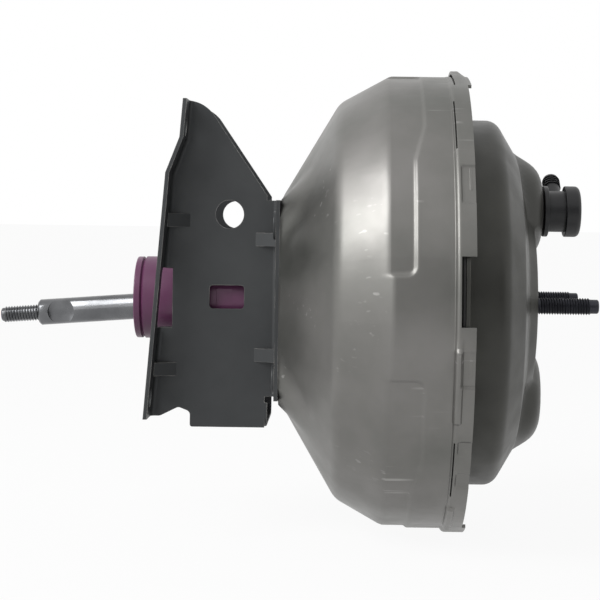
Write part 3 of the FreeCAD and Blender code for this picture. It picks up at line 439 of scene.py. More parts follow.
def recess_share(station, angle):
    """How far a point is pressed inwards, from 0 on a rib to 1 on a panel's floor."""
    for start, slant_middle in PANELS:
        across = (angle - start) % 360
        if across <= PANEL_SPAN:
            side = CYLINDER * math.radians(min(across, PANEL_SPAN - across))
            widening = 0.5 + (across - slant_middle) / SLANT_SPAN
            end = NARROW_END + (WIDE_END - NARROW_END) * max(0.0, min(1.0, widening))
            if station > end:
                return 0.0
            return ease(rounded_inside(side, end - station, PANEL_CORNER) / PANEL_BORDER)
    return 0.0


def pad_distance(y, z):
    """Distance outside the rounded square pad under the bracket."""
    dy = abs(y) - (PAD_HALF_WIDTH - PAD_CORNER)
    dz = abs(z) - (PAD_HALF_HEIGHT - PAD_CORNER)
    return math.hypot(max(dy, 0.0), max(dz, 0.0)) + min(max(dy, dz), 0.0) - PAD_CORNER


print("panels:", len(PANELS), "each over", PANEL_SPAN, "degrees")

# %% [markdown]
# ## Rear shell: locking rim
#
# The rim is a wider ring that holds the front shell by a twist. Its edge is cut back over two long
# stretches, and two deeper notches stand opposite each other. It also has narrow slits, strips that
# stand out as hooks, shallow pockets and a lug at the top. Each is given by the angle at which it
# starts and by its span. Most come again half a turn on, because the far side can't be seen and is
# made like the near one.

# %% Locking rim
RIM_RISE = 2.3
RIM_START = 98.5
# Each notch also has the station that it is cut back to.
NOTCHES = ((-68.0, 136.0, 109.1), (112.0, 136.0, 109.1),
           (-2.9, 15.6, 101.0), (177.1, 15.6, 101.0))
SLITS = ((39.9, 17.7), (-48.6, 18.0), (219.9, 17.7), (131.4, 18.0))
SLIT_REAR, SLIT_FRONT = 98.9, 99.9
POCKETS = ((-16.8, 8.8), (24.8, 10.5), (-45.0, 5.4), (-34.5, 4.5), (163.2, 8.8), (204.8, 10.5))
POCKET_REAR, POCKET_DEPTH = 101.0, 1.1
HOOKS = ((-25.8, 18.2), (-68.7, 15.0), (154.2, 18.2), (111.3, 15.0))
HOOK_REAR, HOOK_FRONT, HOOK_RISE = 97.4, 102.4, 1.5
SOFT_END = 0.8
TOP_LUG = (68.0, 44.0)
LUG_REAR, LUG_FRONT, LUG_SLOPE, LUG_RISE, LUG_ARCH = 101.4, 110.0, 4.4, 3.6, 1.3
LUG_CUT_REAR, LUG_CUT_FRONT = 101.0, 101.8
TOP_SHARE, TOP_REACH, TOP_FADE = 0.15, 12.0, 16.0


def rim_share(angle):
    """The rim stands out from the cylinder all round, but hardly at the top."""
    from_top = abs((angle + 90) % 360 - 180)
    return TOP_SHARE + (1 - TOP_SHARE) * ease((from_top - TOP_REACH) / TOP_FADE)


def strip_share(angle, start, span):
    """1 along a stretch of the rim, softened at its two ends."""
    across = (angle - start) % 360
    return ease(min(across, span - across) / SOFT_END) if across < span else 0.0


def rim_form(station, radius, angle):
    """Lanced strips stand out of the rim, and pockets are pressed into it."""
    radius = CYLINDER + (radius - CYLINDER) * rim_share(angle)
    for start, span in HOOKS:
        along = ease((station - HOOK_REAR) / SOFT_END) * ease((HOOK_FRONT - station) / SOFT_END)
        radius += HOOK_RISE * along * strip_share(angle, start, span)
    for start, span in POCKETS:
        radius -= POCKET_DEPTH * ease(station - POCKET_REAR) * strip_share(angle, start, span)
    start, span = TOP_LUG
    across = (angle - start) % 360
    if across < span and station > LUG_REAR:
        arch = math.sin(math.pi * across / span) ** LUG_ARCH
        radius += LUG_RISE * arch * max(0.0, min(1.0, (LUG_FRONT - station) / LUG_SLOPE))
    return radius


def rear_punched(station, radius, angle):
    """Whether the punch takes this place out of the rim."""
    if station < RIM_START or radius < CYLINDER:
        return False
    for start, span, edge in NOTCHES:
        if (angle - start) % 360 < span and station > edge:
            return True
    for start, span in SLITS:
        if (angle - start) % 360 < span and SLIT_REAR < station < SLIT_FRONT:
            return True
    start, span = TOP_LUG
    return (angle - start) % 360 < span and LUG_CUT_REAR < station < LUG_CUT_FRONT


print("rim:", len(NOTCHES), "notches,", len(SLITS), "slits,", len(HOOKS), "hooks")

# %% [markdown]
# ## Rear shell: rows and columns
#
# A form that is pressed into the sheet shows only where the grid has lines for it. So the rows lie
# close together where panels end and along the rim, and extra columns stand at each border.

# %% Rows and columns of the rear shell
CONE_TOP, PAD_INNER, PAD_BLEND = 60, 45, 3.0
PANEL_ZONE = (56, 90)
PANEL_ENDS, RIM_BAND, BACK_RADIUS = (73, 86), 97, 115
PANEL_GAP, RIM_GAP, BACK_GAP, WALL_GAP = 0.7, 1.2, 2.2, 3.2
BORDER_COLUMNS = (0.0, 0.25, 0.5, 0.8, 1.1, 1.6, 2.4)
SLANT_COLUMNS, SLANT_BEFORE, SLANT_GAP = 12, 7.2, 1.3
NEAR_DOUBLE = 0.12


def rear_form(station, radius, angle):
    """Press the pad, the panels and the rim into the plain outline."""
    if station < CONE_TOP and radius > PAD_INNER:
        turn = math.radians(angle)
        rise = max(0.0, pad_distance(radius * math.cos(turn), radius * math.sin(turn)))
        if station > 0.01:
            station = max(0.0, soft_least(station, rise, PAD_BLEND))
    if PANEL_ZONE[0] < station < PANEL_ZONE[1]:
        share = recess_share(station, angle)
        radius -= share * max(0.0, radius - (CYLINDER - RECESS))
    if station > HOOK_REAR:
        radius = rim_form(station, radius, angle)
    return station, radius


# The sheet's outside looks to the rear.
rear_form.faces = -1


def angle_list(base_step, extra):
    """Sorted angles over a full turn, without near doubles; the first returns at the end."""
    marked = {round(v % 360, 3) for v in extra}
    plain = {round(i * base_step, 3) for i in range(int(360 / base_step))}
    kept = []
    for value in sorted(marked | plain):
        if kept and value - kept[-1] < NEAR_DOUBLE and value not in marked:
            continue
        kept.append(value)
    return kept + [kept[0] + 360]


def rear_spacing(station, radius):
    """Gap between rows: fine where panels end and along the rim."""
    if PANEL_ENDS[0] < station < PANEL_ENDS[1]:
        return PANEL_GAP
    if station > RIM_BAND:
        return RIM_GAP
    return BACK_GAP if radius < BACK_RADIUS else WALL_GAP


fine = []
for start, slant_middle in PANELS:
    for offset in BORDER_COLUMNS:
        fine += [start + offset, start + PANEL_SPAN - offset]
    fine += [start + slant_middle - SLANT_BEFORE + SLANT_GAP * i for i in range(SLANT_COLUMNS)]
for stretch in NOTCHES + SLITS + (TOP_LUG,):
    fine += [stretch[0], stretch[0] + stretch[1]]
for start, span in HOOKS + POCKETS:
    for offset in (0.0, SOFT_END / 2, SOFT_END):
        fine += [start + offset, start + span - offset]
print("extra columns:", len(fine))

# %% [markdown]
# ## Rear shell: pressing
#
# The outline runs from the hole's collar over the flat back, the cone and the cylinder to the rim.
# It has rows at 101.0, 101.8 and 109.1 mm, so that the punch can cut along them. Short tabs are
# bent inwards in front of the flange of the front shell, and hold it.

# %% Press the rear shell
FLANGE = 105.7
RIM = CYLINDER + RIM_RISE
TAB_STARTS = (76.5, 52.5, 28.5, -14.5, -39.5, 121.5, 138.5, 198.5, 215.5, 251.5)
TAB_SPAN = 7.0
TAB_INNER = 132.5
rear_corners = [(9.0, 30.0, 0), (0.0, 30.0, 2.5), (0.0, 63.7, 7.0), (34.0, 121.3, 16.0),
                (64.5, CYLINDER, 7.0), (73.0, CYLINDER, 0), (86.0, CYLINDER, 0),
                (97.8, CYLINDER, 0.7), (99.2, RIM, 2.6), (101.0, RIM, 0), (101.8, RIM, 0),
                (105.6, RIM, 0), (109.1, RIM, 0), (111.3, RIM, 0)]
rear_outline = bent_outline(rear_corners, rear_spacing)
rear_shell = pressed_sheet("rear_shell_pressed", rear_outline, angle_list(2.5, fine),
                           rear_form, rear_punched, SHEET)
tabs = []
for start in TAB_STARTS:
    outer = CYLINDER + RIM_RISE * rim_share(start + TAB_SPAN / 2) - SHEET / 2
    tabs.append(bent_strip("tab", FLANGE, SHEET, TAB_INNER, outer, start, TAB_SPAN))
rear_shell = join([rear_shell] + tabs, "rear_shell_pressed")
smooth(rear_shell, 30)
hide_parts("rear_shell")
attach(rear_shell, "housing")

# %% [markdown]
# ## Front shell
#
# The front shell is a shallower pressing, painted darker. A flat flange lies in the rear shell's
# rim, and steps lead up to the round seat of the master cylinder. Where a dome meets the seat the
# metal flows, so the two forms are blended with a rounded changeover.

# %% Press the front shell
DOME_OFFSET, DOME_TOP = 57.0, 158.9
# Two straight falls from the dome's top: station at a reach, that reach, and the fall per mm.
DOME_FALLS = ((158.9, 21.0, 0.784), (152.0, 29.8, 2.258))
DOME_INNER, DOME_OUTER = 21.0, 105.0
STUD_OFFSET = 42.85
CHECK_VALVE_HEIGHT = 56.5


def front_form(station, radius, angle):
    """Raise the two domed lobes out of the plain outline."""
    if DOME_INNER < radius < DOME_OUTER:
        turn = math.radians(angle)
        y, z = -radius * math.cos(turn), radius * math.sin(turn)
        reach = math.hypot(y, abs(z) - DOME_OFFSET)
        gentle, steep = (top - fall * (reach - start) for top, start, fall in DOME_FALLS)
        dome = soft_least(soft_least(gentle, steep, 7.0), DOME_TOP, 4.0)
        station = soft_most(station, dome, 6.0)
    return station, radius


# The sheet's outside looks to the front.
front_form.faces = 1


def even_spacing(station, radius):
    return 2.4


front_corners = [(FLANGE, 137.9, 0), (FLANGE, 112.0, 2.5), (128.7, 112.0, 9.0), (141.0, 91.5, 7.0),
                 (146.5, 62.0, 6.0), (152.2, 54.0, 4.0), (152.2, 20.0, 2.5), (145.2, 20.0, 0),
                 (145.2, 17.0, 0), (138.2, 17.0, 0)]
front_outline = bent_outline(front_corners, even_spacing)
front_shell = pressed_sheet("front_shell_pressed", front_outline, angle_list(2.0, []),
                            front_form, unpunched, SHEET)
cut_away(front_shell, drill(158.0, 9.5, 12.0, 0, CHECK_VALVE_HEIGHT))
for side in (1, -1):
    cut_away(front_shell, drill(152.0, 5.2, 12.0, side * STUD_OFFSET, 0))
smooth(front_shell, 30)
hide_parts("front_shell")
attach(front_shell, "housing")
print("front shell faces", len(front_shell.data.polygons))

# %% [markdown]
# ## Diaphragm
#
# The rubber diaphragm is moulded in one piece: a sheet over the piston plate, a rolling fold and a
# thick bead that the two shells clamp at the flange. Six bumpers on its back keep it off the rear
# shell. It can't be seen, but it has to end where the flange of this file lies. The fold is soft.

# %% Mould the diaphragm
RUBBER = 1.6
DIAPHRAGM_BACK = 9.5
CLAMP = FLANGE - SHEET
BEAD_RADIUS, BEAD_THICKNESS = 136.9, 1.19
BUMPERS, BUMPER_SPAN = 6, 30


def plain_form(station, radius, angle):
    return station, radius


plain_form.faces = -1
diaphragm_corners = [(DIAPHRAGM_BACK, 26.5, 0), (DIAPHRAGM_BACK, 63.8, 9.0), (33.2, 112.1, 5.0),
                     (65.0, 132.1, 12.0), (101.9, 132.1, 2.0), (101.9, BEAD_RADIUS, 0)]
diaphragm = pressed_sheet("diaphragm_moulded", bent_outline(diaphragm_corners, even_spacing),
                          angle_list(4.0, []), plain_form, unpunched, RUBBER)
bpy.ops.object.select_all(action="DESELECT")
bpy.ops.mesh.primitive_torus_add(major_segments=90, minor_segments=12,
                                 major_radius=BEAD_RADIUS * MM, minor_radius=BEAD_THICKNESS * MM,
                                 location=place(CLAMP - 1.2), rotation=(0, math.pi / 2, 0))
soft_parts = [diaphragm, settle(bpy.context.object, "bead")]
for index in range(BUMPERS):
    soft_parts.append(bent_strip("bumper", 2.3, 7.6, 47.5, 52.5,
                                 index * 360 / BUMPERS - BUMPER_SPAN / 2, BUMPER_SPAN))
diaphragm = join(soft_parts, "diaphragm_moulded")
smooth(diaphragm, 30)
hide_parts("diaphragm")
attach(diaphragm, "housing")
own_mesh(diaphragm)
print("diaphragm faces", len(diaphragm.data.polygons))

# %% [markdown]
# ## Push rod
#
# The pedal's rod is a turned bar: a ball for the valve plunger, a thin neck, a collar for the small
# spring, a thick shank with two wrench flats and a threaded tip. It hangs a little below the axis,
# so it is turned about its ball once it is done.

# %% Turn the push rod
BALL_STATION, BALL_RADIUS, NECK_RADIUS = -14.6, 6.5, 5.0
FLAT_HALF, FLAT_CUTTER = 4.7, 8.0
DROOP = math.radians(4.39)

neck_angle = 180 - math.degrees(math.asin(NECK_RADIUS / BALL_RADIUS))
ball = arc_points(BALL_STATION, BALL_RADIUS, neck_angle, 3, 14)
rod_outline = [(-174.0, 3.5), (-173.2, 4.15), (-151.0, 4.15), (-150.9, 6.2), (-150.7, 6.7),
               (-149.4, 7.9), (-60.0, 7.9), (-60.0, 13.8), (-59.6, 14.2), (-58.8, 14.2),
               (-58.4, 13.8), (-58.4, 6.4), (-57.6, 5.3), (-56.4, NECK_RADIUS)] + ball
rod = turned_piece("push_rod_turned", rod_outline)
for side in (1, -1):
    cut_away(rod, drill(-136.3, 8.0, FLAT_CUTTER, side * (FLAT_HALF + FLAT_CUTTER / 2), 0, "Y"))
apply_modifier(rod, "BEVEL", width=0.25 * MM, segments=2, limit_method="ANGLE",
               angle_limit=math.radians(40))
ridge = thread_ridge("rod_thread", -173.7, -151.2, 4.15, 4.9, 1.7)
rod = join([rod, ridge], "push_rod_turned")
smooth(rod, 35)
pivot = place(BALL_STATION)
for vertex in rod.data.vertices:
    arm = vertex.co - pivot
    vertex.co = pivot + Vector((arm.x * math.cos(DROOP) - arm.z * math.sin(DROOP), arm.y,
                                arm.x * math.sin(DROOP) + arm.z * math.cos(DROOP)))
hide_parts("push_rod")
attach(rod, "push_rod")
print("push rod lowest point in mm", round(min(v.co.z for v in rod.data.vertices) * 1000, 1))

# %% [markdown]
# ## Master cylinder studs
#
# Two cold-headed studs stand in the seat. Each has a pressed-in shank, a rolled thread and a smooth
# lead at its tip that helps the nut to find the thread. One is made, and the other is its copy.

# %% Turn and copy the studs
stud_outline = [(144.5, 6.6), (145.2, 7.3), (147.7, 7.3), (147.7, 5.2), (152.4, 5.2), (152.9, 4.3),
                (183.9, 4.3), (184.5, 4.2), (188.4, 4.2), (189.1, 3.5)]
stud = turned_piece("stud", stud_outline, 48)
apply_modifier(stud, "BEVEL", width=0.2 * MM, segments=2, limit_method="ANGLE",
               angle_limit=math.radians(40))
stud = join([stud, thread_ridge("stud_thread", 152.6, 184.4, 4.3, 5.0, 1.55)], "stud_left")
smooth(stud, 35)
other = stud.copy()
other.data = stud.data.copy()
bpy.context.collection.objects.link(other)
for piece, side, name in ((stud, 1, "stud_left"), (other, -1, "stud_right")):
    for vertex in piece.data.vertices:
        vertex.co.y += side * STUD_OFFSET * MM
    piece.name = name
    piece.data.name = name
    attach(piece, "housing")
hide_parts("master_cylinder_studs")
print("stud tip at", round(max(v.co.x for v in stud.data.vertices) * 1000, 2))

# %% [markdown]
# ## Finishes
#
# Every finish starts from the same few parts: a colour that varies a little, a roughness that
# varies a little, and a bump for the grain. Patterns read object coordinates, so they stay on the
# metal when a piece moves. Colours are written as they look on a screen and turned to linear
# values here.

# %% Helpers for finishes
def linear(red, green, blue):
    """A screen colour of 0 to 255 as the linear colour that a shader takes."""
    values = []
    for part in (red, green, blue):
        part /= 255
        values.append(part / 12.92 if part <= 0.04045 else ((part + 0.055) / 1.055) ** 2.4)
    return (*values, 1.0)


def new_finish(name, metal, rough, **sockets):
    """A material with its shader; uniform values are set straight on the shader."""
    finish = bpy.data.materials.new(name)
    finish.use_nodes = True
    shader = finish.node_tree.nodes["Principled BSDF"]
    shader.inputs["Metallic"].default_value = metal
    shader.inputs["Roughness"].default_value = rough
    for key, value in sockets.items():
        shader.inputs[key.replace("_", " ")].default_value = value
    return finish


def add_node(finish, kind, **settings):
    node = finish.node_tree.nodes.new("ShaderNode" + kind)
    for key, value in settings.items():
        setattr(node, key, value)
    return node


def link(finish, source, target):
    finish.node_tree.links.new(source, target)


def noise(finish, scale, detail=4.0, roughness=0.55, stretch=(1, 1, 1)):
    """Noise on object coordinates; stretch squeezes it along X, Y and Z."""
    coordinates = add_node(finish, "TexCoord")
    mapping = add_node(finish, "Mapping")
    mapping.inputs["Scale"].default_value = stretch
    texture = add_node(finish, "TexNoise")
    texture.inputs["Scale"].default_value = scale
    texture.inputs["Detail"].default_value = detail
    texture.inputs["Roughness"].default_value = roughness
    link(finish, coordinates.outputs["Object"], mapping.inputs["Vector"])
    link(finish, mapping.outputs["Vector"], texture.inputs["Vector"])
    return texture.outputs["Fac"]


def spread(finish, value, low, high, to_low, to_high):
    node = add_node(finish, "MapRange", clamp=True)
    for key, number in (("From Min", low), ("From Max", high), ("To Min", to_low),
                        ("To Max", to_high)):
        node.inputs[key].default_value = number
    link(finish, value, node.inputs["Value"])
    return node.outputs["Result"]


def tints(finish, value, stops):
    """Colours along a value; stops are (place, colour)."""
    ramp = add_node(finish, "ValToRGB")
    ramp.color_ramp.elements[0].position = stops[0][0]
    ramp.color_ramp.elements[0].color = stops[0][1]
    ramp.color_ramp.elements[1].position = stops[-1][0]
    ramp.color_ramp.elements[1].color = stops[-1][1]
    for position, colour in stops[1:-1]:
        ramp.color_ramp.elements.new(position).color = colour
    link(finish, value, ramp.inputs["Fac"])
    return ramp.outputs["Color"]


def blend_colours(finish, share, first, second):
    mix = add_node(finish, "Mix", data_type="RGBA")
    link(finish, share, mix.inputs["Factor"])
    sockets = [s for s in mix.inputs if s.type == "RGBA"]
    for source, socket in zip((first, second), sockets):
        if isinstance(source, tuple):
            socket.default_value = source
        else:
            link(finish, source, socket)
    return [s for s in mix.outputs if s.type == "RGBA"][0]


def maths(finish, operation, first, second):
    node = add_node(finish, "Math", operation=operation)
    for value, socket in ((first, node.inputs[0]), (second, node.inputs[1])):
        if isinstance(value, (int, float)):
            socket.default_value = value
        else:
            link(finish, value, socket)
    return node.outputs["Value"]


def straight_marks(finish, scale, length):
    """Short straight scratches along X, where a stretched noise is at its highest."""
    value = noise(finish, scale, 1.0, 0.4, (1 / length, 1, 1))
    return spread(finish, value, 0.66, 0.74, 0.0, 1.0)


def wear_bumps(finish, heights):
    """Chain bumps of (height, strength, distance in mm) into the shader's normal."""
    shader = finish.node_tree.nodes["Principled BSDF"]
    before = None
    for height, strength, distance in heights:
        bump = add_node(finish, "Bump")
        bump.inputs["Strength"].default_value = strength
        bump.inputs["Distance"].default_value = distance * MM
        link(finish, height, bump.inputs["Height"])
        if before is not None:
            link(finish, before, bump.inputs["Normal"])
        before = bump.outputs["Normal"]
    link(finish, before, shader.inputs["Normal"])


def wire(finish, socket, value):
    link(finish, value, finish.node_tree.nodes["Principled BSDF"].inputs[socket])


# %% [markdown]
# ## Pressed and plated steels
#
# The rear shell is bare-looking plated sheet: mid grey, satin, with cloudy stains, fine marks drawn
# along the press stroke and a few short straight scratches. The rod is brighter zinc, the studs are
# dark phosphate, and small hardware lies between them.

# %% Steel finishes
def shell_steel():
    finish = new_finish("shell_steel", 0.74, 0.4)
    cloud = noise(finish, 9.0, 5.0)
    base = tints(finish, cloud, ((0.3, linear(104, 105, 101)), (0.5, linear(122, 121, 118)),
                                 (0.72, linear(138, 136, 134))))
    sparse = spread(finish, noise(finish, 26.0, 2.0), 0.54, 0.66, 0.0, 0.5)
    marked = maths(finish, "MULTIPLY", straight_marks(finish, 340.0, 26.0), sparse)
    wire(finish, "Base Color", blend_colours(finish, marked, base, linear(182, 181, 178)))
    drawn = noise(finish, 190.0, 3.0, 0.6, (0.06, 1, 1))
    rough = spread(finish, noise(finish, 22.0, 6.0), 0.3, 0.7, 0.3, 0.5)
    wire(finish, "Roughness", rough)
    wear_bumps(finish, ((drawn, 0.16, 0.2), (noise(finish, 900.0, 2.0), 0.1, 0.08),
                        (marked, 0.2, -0.1)))
    return finish


def plated(name, dark, light, rough, metal=0.85):
    """Small plated hardware: even colour, fine turning marks, slight stain."""
    finish = new_finish(name, metal, rough)
    wire(finish, "Base Color", tints(finish, noise(finish, 60.0, 4.0), ((0.3, dark), (0.7, light))))
    wire(finish, "Roughness", spread(finish, noise(finish, 150.0, 4.0), 0.3, 0.7, rough - 0.08,
                                     rough + 0.1))
    turning = noise(finish, 400.0, 2.0, 0.5, (1, 0.12, 0.12))
    wear_bumps(finish, ((turning, 0.14, 0.1), (noise(finish, 1500.0, 2.0), 0.08, 0.05)))
    return finish


FINISHES = {
    "rear_shell_steel": shell_steel(),
    "dark_steel": plated("dark_phosphate", linear(36, 37, 42), linear(60, 61, 68), 0.42, 0.6),
    "plated_steel": plated("plated_hardware", linear(96, 94, 90), linear(132, 130, 124), 0.36),
    "zinc_steel": plated("bright_zinc", linear(94, 95, 97), linear(118, 119, 121), 0.22, 0.95),
    "spring_steel": plated("spring_wire", linear(70, 72, 74), linear(104, 106, 108), 0.34, 0.9),
}
print("steels:", sorted(FINISHES))

# %% [markdown]
# ## Paint
#
# The bracket and the front shell carry thin dark paint. Paint hides the rolled grain but not dents,
# it has a faint orange-peel texture, and it wears to bare metal on cut edges. The Bevel node finds
# those edges: where a rounded normal departs from the true one, a sheet's edge is near.

# %% Paint finishes
def paint(name, dark, light, rough, bare):
    finish = new_finish(name, 0.25, rough)
    cloud = tints(finish, noise(finish, 14.0, 5.0), ((0.3, dark), (0.7, light)))
    rounded = add_node(finish, "Bevel", samples=4)
    rounded.inputs["Radius"].default_value = 0.7 * MM
    geometry = add_node(finish, "NewGeometry")
    dot = add_node(finish, "VectorMath", operation="DOT_PRODUCT")
    link(finish, rounded.outputs["Normal"], dot.inputs[0])
    link(finish, geometry.outputs["Normal"], dot.inputs[1])
    edge = spread(finish, dot.outputs["Value"], 0.96, 0.8, 0.0, 1.0)
    patchy = spread(finish, noise(finish, 70.0, 4.0), 0.4, 0.6, 0.15, 0.9)
    wire(finish, "Base Color", blend_colours(finish, maths(finish, "MULTIPLY", edge, patchy),
                                             cloud, bare))
    wire(finish, "Roughness", spread(finish, noise(finish, 45.0, 5.0), 0.3, 0.7, rough - 0.07,
                                     rough + 0.09))
    wear_bumps(finish, ((noise(finish, 420.0, 2.0), 0.16, 0.12),
                        (noise(finish, 25.0, 3.0), 0.12, 0.3)))
    return finish


FINISHES["bracket_paint"] = paint("bracket_paint", linear(50, 52, 54), linear(68, 70, 71), 0.42,
                                  linear(160, 158, 153))
FINISHES["front_shell_paint"] = paint("front_shell_paint", linear(58, 58, 54),
                                      linear(76, 76, 70), 0.42, linear(120, 118, 111))
print("paints:", sorted(name for name in FINISHES if name.endswith("paint")))

# %% [markdown]
# ## Plastics, rubber and felt
#
# The valve body is a glossy violet moulding with faint flow marks, the check valve a nearly black
# one with a fine matt texture. Rubber is darker and duller. The air filter is a felt ring, so its
# colour breaks up into fibres.

# %% Moulded and soft finishes
def moulded(name, dark, light, rough, texture):
    finish = new_finish(name, 0.0, rough, Specular_IOR_Level=0.5)
    flow = noise(finish, 18.0, 3.0, 0.5, (0.35, 1, 1))
    wire(finish, "Base Color", tints(finish, flow, ((0.3, dark), (0.7, light))))
    wire(finish, "Roughness", spread(finish, noise(finish, 60.0, 4.0), 0.3, 0.7, rough - 0.06,
                                     rough + 0.08))
    wear_bumps(finish, ((noise(finish, texture, 2.0), 0.1, 0.08), (flow, 0.08, 0.3)))
    return finish


def felt():
    finish = new_finish("felt", 0.0, 0.95)
    fibres = noise(finish, 700.0, 5.0, 0.7, (1, 0.3, 1))
    wire(finish, "Base Color", tints(finish, fibres, ((0.3, linear(110, 104, 92)),
                                                      (0.7, linear(176, 168, 150)))))
    wear_bumps(finish, ((fibres, 0.8, 0.6),))
    return finish


FINISHES["purple_plastic"] = moulded("violet_moulding", linear(98, 50, 84), linear(122, 74, 110),
                                     0.36, 600.0)
FINISHES["black_plastic"] = moulded("black_moulding", linear(9, 10, 13), linear(17, 18, 22),
                                    0.44, 1200.0)
FINISHES["black_rubber"] = moulded("black_rubber", linear(20, 20, 20), linear(34, 33, 32), 0.62,
                                   900.0)
FINISHES["filter_felt"] = felt()
print("finishes:", len(FINISHES))

# %% [markdown]
# ## Giving each piece its finish
#
# The record names a material slot for each node. Reading it here keeps the dressed part and the
# record in step: a new node gets its finish without a new line of code.

# %% Assign finishes
def wear_finish(piece, finish):
    piece.data.materials.clear()
    piece.data.materials.append(finish)


for entry in frame["record"]["subparts"]:
    wear_finish(frame["nodes"][entry["node"]], FINISHES[entry["material_slot"]])
for piece, slot in ((rear_shell, "rear_shell_steel"), (front_shell, "front_shell_paint"),
                    (diaphragm, "black_rubber"), (rod, "zinc_steel"), (stud, "dark_steel"),
                    (other, "dark_steel")):
    wear_finish(piece, FINISHES[slot])

# %% [markdown]
# ## What the camera sees behind the part
#
# A studio shows as plain white, but white that bright would wash the part out if it also lit it. So
# the floor and the world answer in two ways. Rays that look at them, straight, through glass or in
# a mirror image, get white or nearly white, and rays that gather light get a dimmer tone.

# %% Rays that see the setting
def plain_rays(tree):
    """1 for rays that look at the setting, straight, through glass or in a mirror image."""
    path = tree.nodes.new("ShaderNodeLightPath")
    value = path.outputs["Is Camera Ray"]
    for name in ("Is Transmission Ray", "Is Glossy Ray"):
        most = tree.nodes.new("ShaderNodeMath")
        most.operation = "MAXIMUM"
        tree.links.new(value, most.inputs[0])
        tree.links.new(path.outputs[name], most.inputs[1])
        value = most.outputs[0]
    return value


# %% [markdown]
# ## Floor
#
# The part stands just above a pale floor that reaches almost to the horizon. Most of what the
# camera sees of it is a plain glow, and the rest is a lit grey surface, which keeps the part's soft
# shadow.

# %% Floor
FLOOR_SIZE, FLOOR_GAP = 60, 0.0005
GLOW, GLOW_SHARE = 1.08, 0.86

bpy.ops.object.select_all(action="DESELECT")
bpy.ops.mesh.primitive_plane_add(size=FLOOR_SIZE, location=(0, 0, cad_low.z - FLOOR_GAP))
floor = settle(bpy.context.object, "floor")
floor_finish = new_finish("pale_floor", 0.0, 0.9)
nodes = floor_finish.node_tree.nodes
glow = add_node(floor_finish, "Emission")
glow.inputs["Strength"].default_value = GLOW
paleness = maths(floor_finish, "MULTIPLY", plain_rays(floor_finish.node_tree), GLOW_SHARE)
lit = add_node(floor_finish, "MixShader")
link(floor_finish, paleness, lit.inputs["Fac"])
link(floor_finish, nodes["Principled BSDF"].outputs["BSDF"], lit.inputs[1])
link(floor_finish, glow.outputs["Emission"], lit.inputs[2])
link(floor_finish, lit.outputs["Shader"], nodes["Material Output"].inputs["Surface"])
greys = ((0.3, linear(168, 168, 168)), (0.7, linear(172, 172, 172)))
wire(floor_finish, "Base Color", tints(floor_finish, noise(floor_finish, 3.0, 2.0), greys))
wear_bumps(floor_finish, ((noise(floor_finish, 200.0, 2.0), 0.02, 0.1),))
wear_finish(floor, floor_finish)
print("floor at", round(floor.data.vertices[0].co.z * 1000, 1), "mm")

# %% [markdown]
# ## Lamps
#
# In the photograph the cone's top and the upper part of the cylinder are the brightest metal, so
# the light comes from above on the left. One strong soft lamp does most of that here, and two weak
# ones keep the shadows open.

# %% Lamps
def soft_lamp(name, location, target, size, power):
    lamp = bpy.data.lights.new(name, "AREA")
    lamp.shape = "SQUARE"
    lamp.size = size
    lamp.energy = power
    holder = bpy.data.objects.new(name, lamp)
    bpy.context.scene.collection.objects.link(holder)
    holder.location = location
    holder.rotation_euler = (Vector(target) - Vector(location)).to_track_quat("-Z", "Y").to_euler()


MIDDLE = (-0.11, 0, 0)
soft_lamp("lamp_above", (-1.2, -0.7, 1.0), MIDDLE, 0.9, 18)
soft_lamp("lamp_left", (-1.3, -1.2, 0.5), MIDDLE, 0.9, 2.5)
soft_lamp("lamp_right", (1.2, -1.0, 0.4), MIDDLE, 0.8, 0.3)
print("lamps:", len(bpy.data.lights))

# %% [markdown]
# ## Dark card
#
# Shiny metal looks like metal because dark things are mirrored in it. A photographer puts a black
# card beside the camera for that, and here one stands on its right. Only mirror images show it.

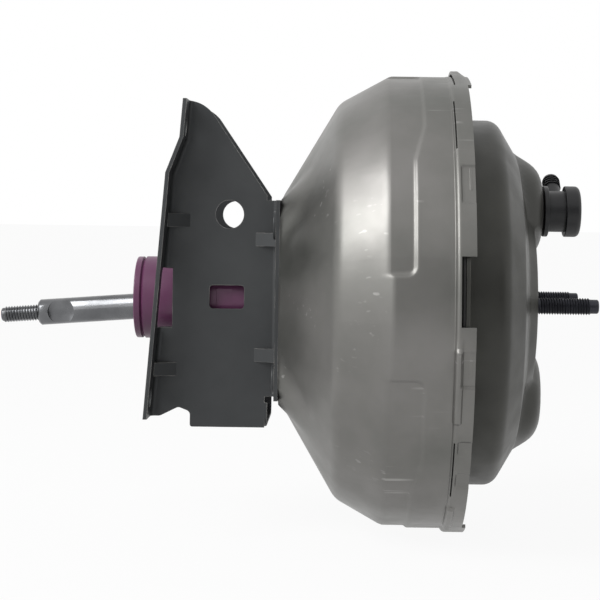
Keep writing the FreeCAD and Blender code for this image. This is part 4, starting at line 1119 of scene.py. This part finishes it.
# %% Dark card
bpy.ops.object.select_all(action="DESELECT")
bpy.ops.mesh.primitive_plane_add(size=2, location=(0.98, -1.6, -0.35),
                                 rotation=(math.pi / 2, 0, 0))
card = settle(bpy.context.object, "dark_card")
wear_finish(card, new_finish("dark_card", 0.0, 1.0, Base_Color=linear(30, 30, 32)))
card.visible_camera = False
card.visible_diffuse = False
card.visible_transmission = False
card.visible_shadow = False
print("card is", round(card.dimensions.x, 2), "m wide")

# %% [markdown]
# ## World
#
# The world is the light that comes from everywhere. It is dim, so that the lamps give the part its
# form, and it is white only for the rays that look at it.

# %% World
WORLD_LIGHT = 0.36

world = bpy.data.worlds.new("studio")
bpy.context.scene.world = world
world.use_nodes = True
tree = world.node_tree
plain = tree.nodes["Background"]
plain.inputs["Color"].default_value = (1, 1, 1, 1)
plain.inputs["Strength"].default_value = WORLD_LIGHT
white = tree.nodes.new("ShaderNodeBackground")
white.inputs["Color"].default_value = (1, 1, 1, 1)
white.inputs["Strength"].default_value = 1.0
chosen = tree.nodes.new("ShaderNodeMixShader")
tree.links.new(plain_rays(tree), chosen.inputs["Fac"])
tree.links.new(plain.outputs[0], chosen.inputs[1])
tree.links.new(white.outputs[0], chosen.inputs[2])
tree.links.new(chosen.outputs[0], tree.nodes["World Output"].inputs["Surface"])
bpy.context.scene.view_settings.view_transform = "Standard"
print("world light", WORLD_LIGHT)

# %% [markdown]
# ## Camera
#
# The camera stands nearly a metre away, square to the axis and a little above it. It is rolled by
# less than a degree, as in the photograph, and its frame is shifted so that the whole rod stays in.

# %% Camera
lens = bpy.data.cameras.new("camera")
lens.lens = 96
lens.sensor_width = 36
lens.shift_x = -0.075
lens.shift_y = -0.135
lens.clip_end = 100
camera = bpy.data.objects.new("camera", lens)
bpy.context.scene.collection.objects.link(camera)
camera.location = (-0.1141, -0.992, 0.050)
camera.rotation_euler = (math.pi / 2, -math.radians(0.8), 0)
bpy.context.scene.camera = camera
print("camera", round((camera.location - place(SEAT)).length, 2), "m from the seat")
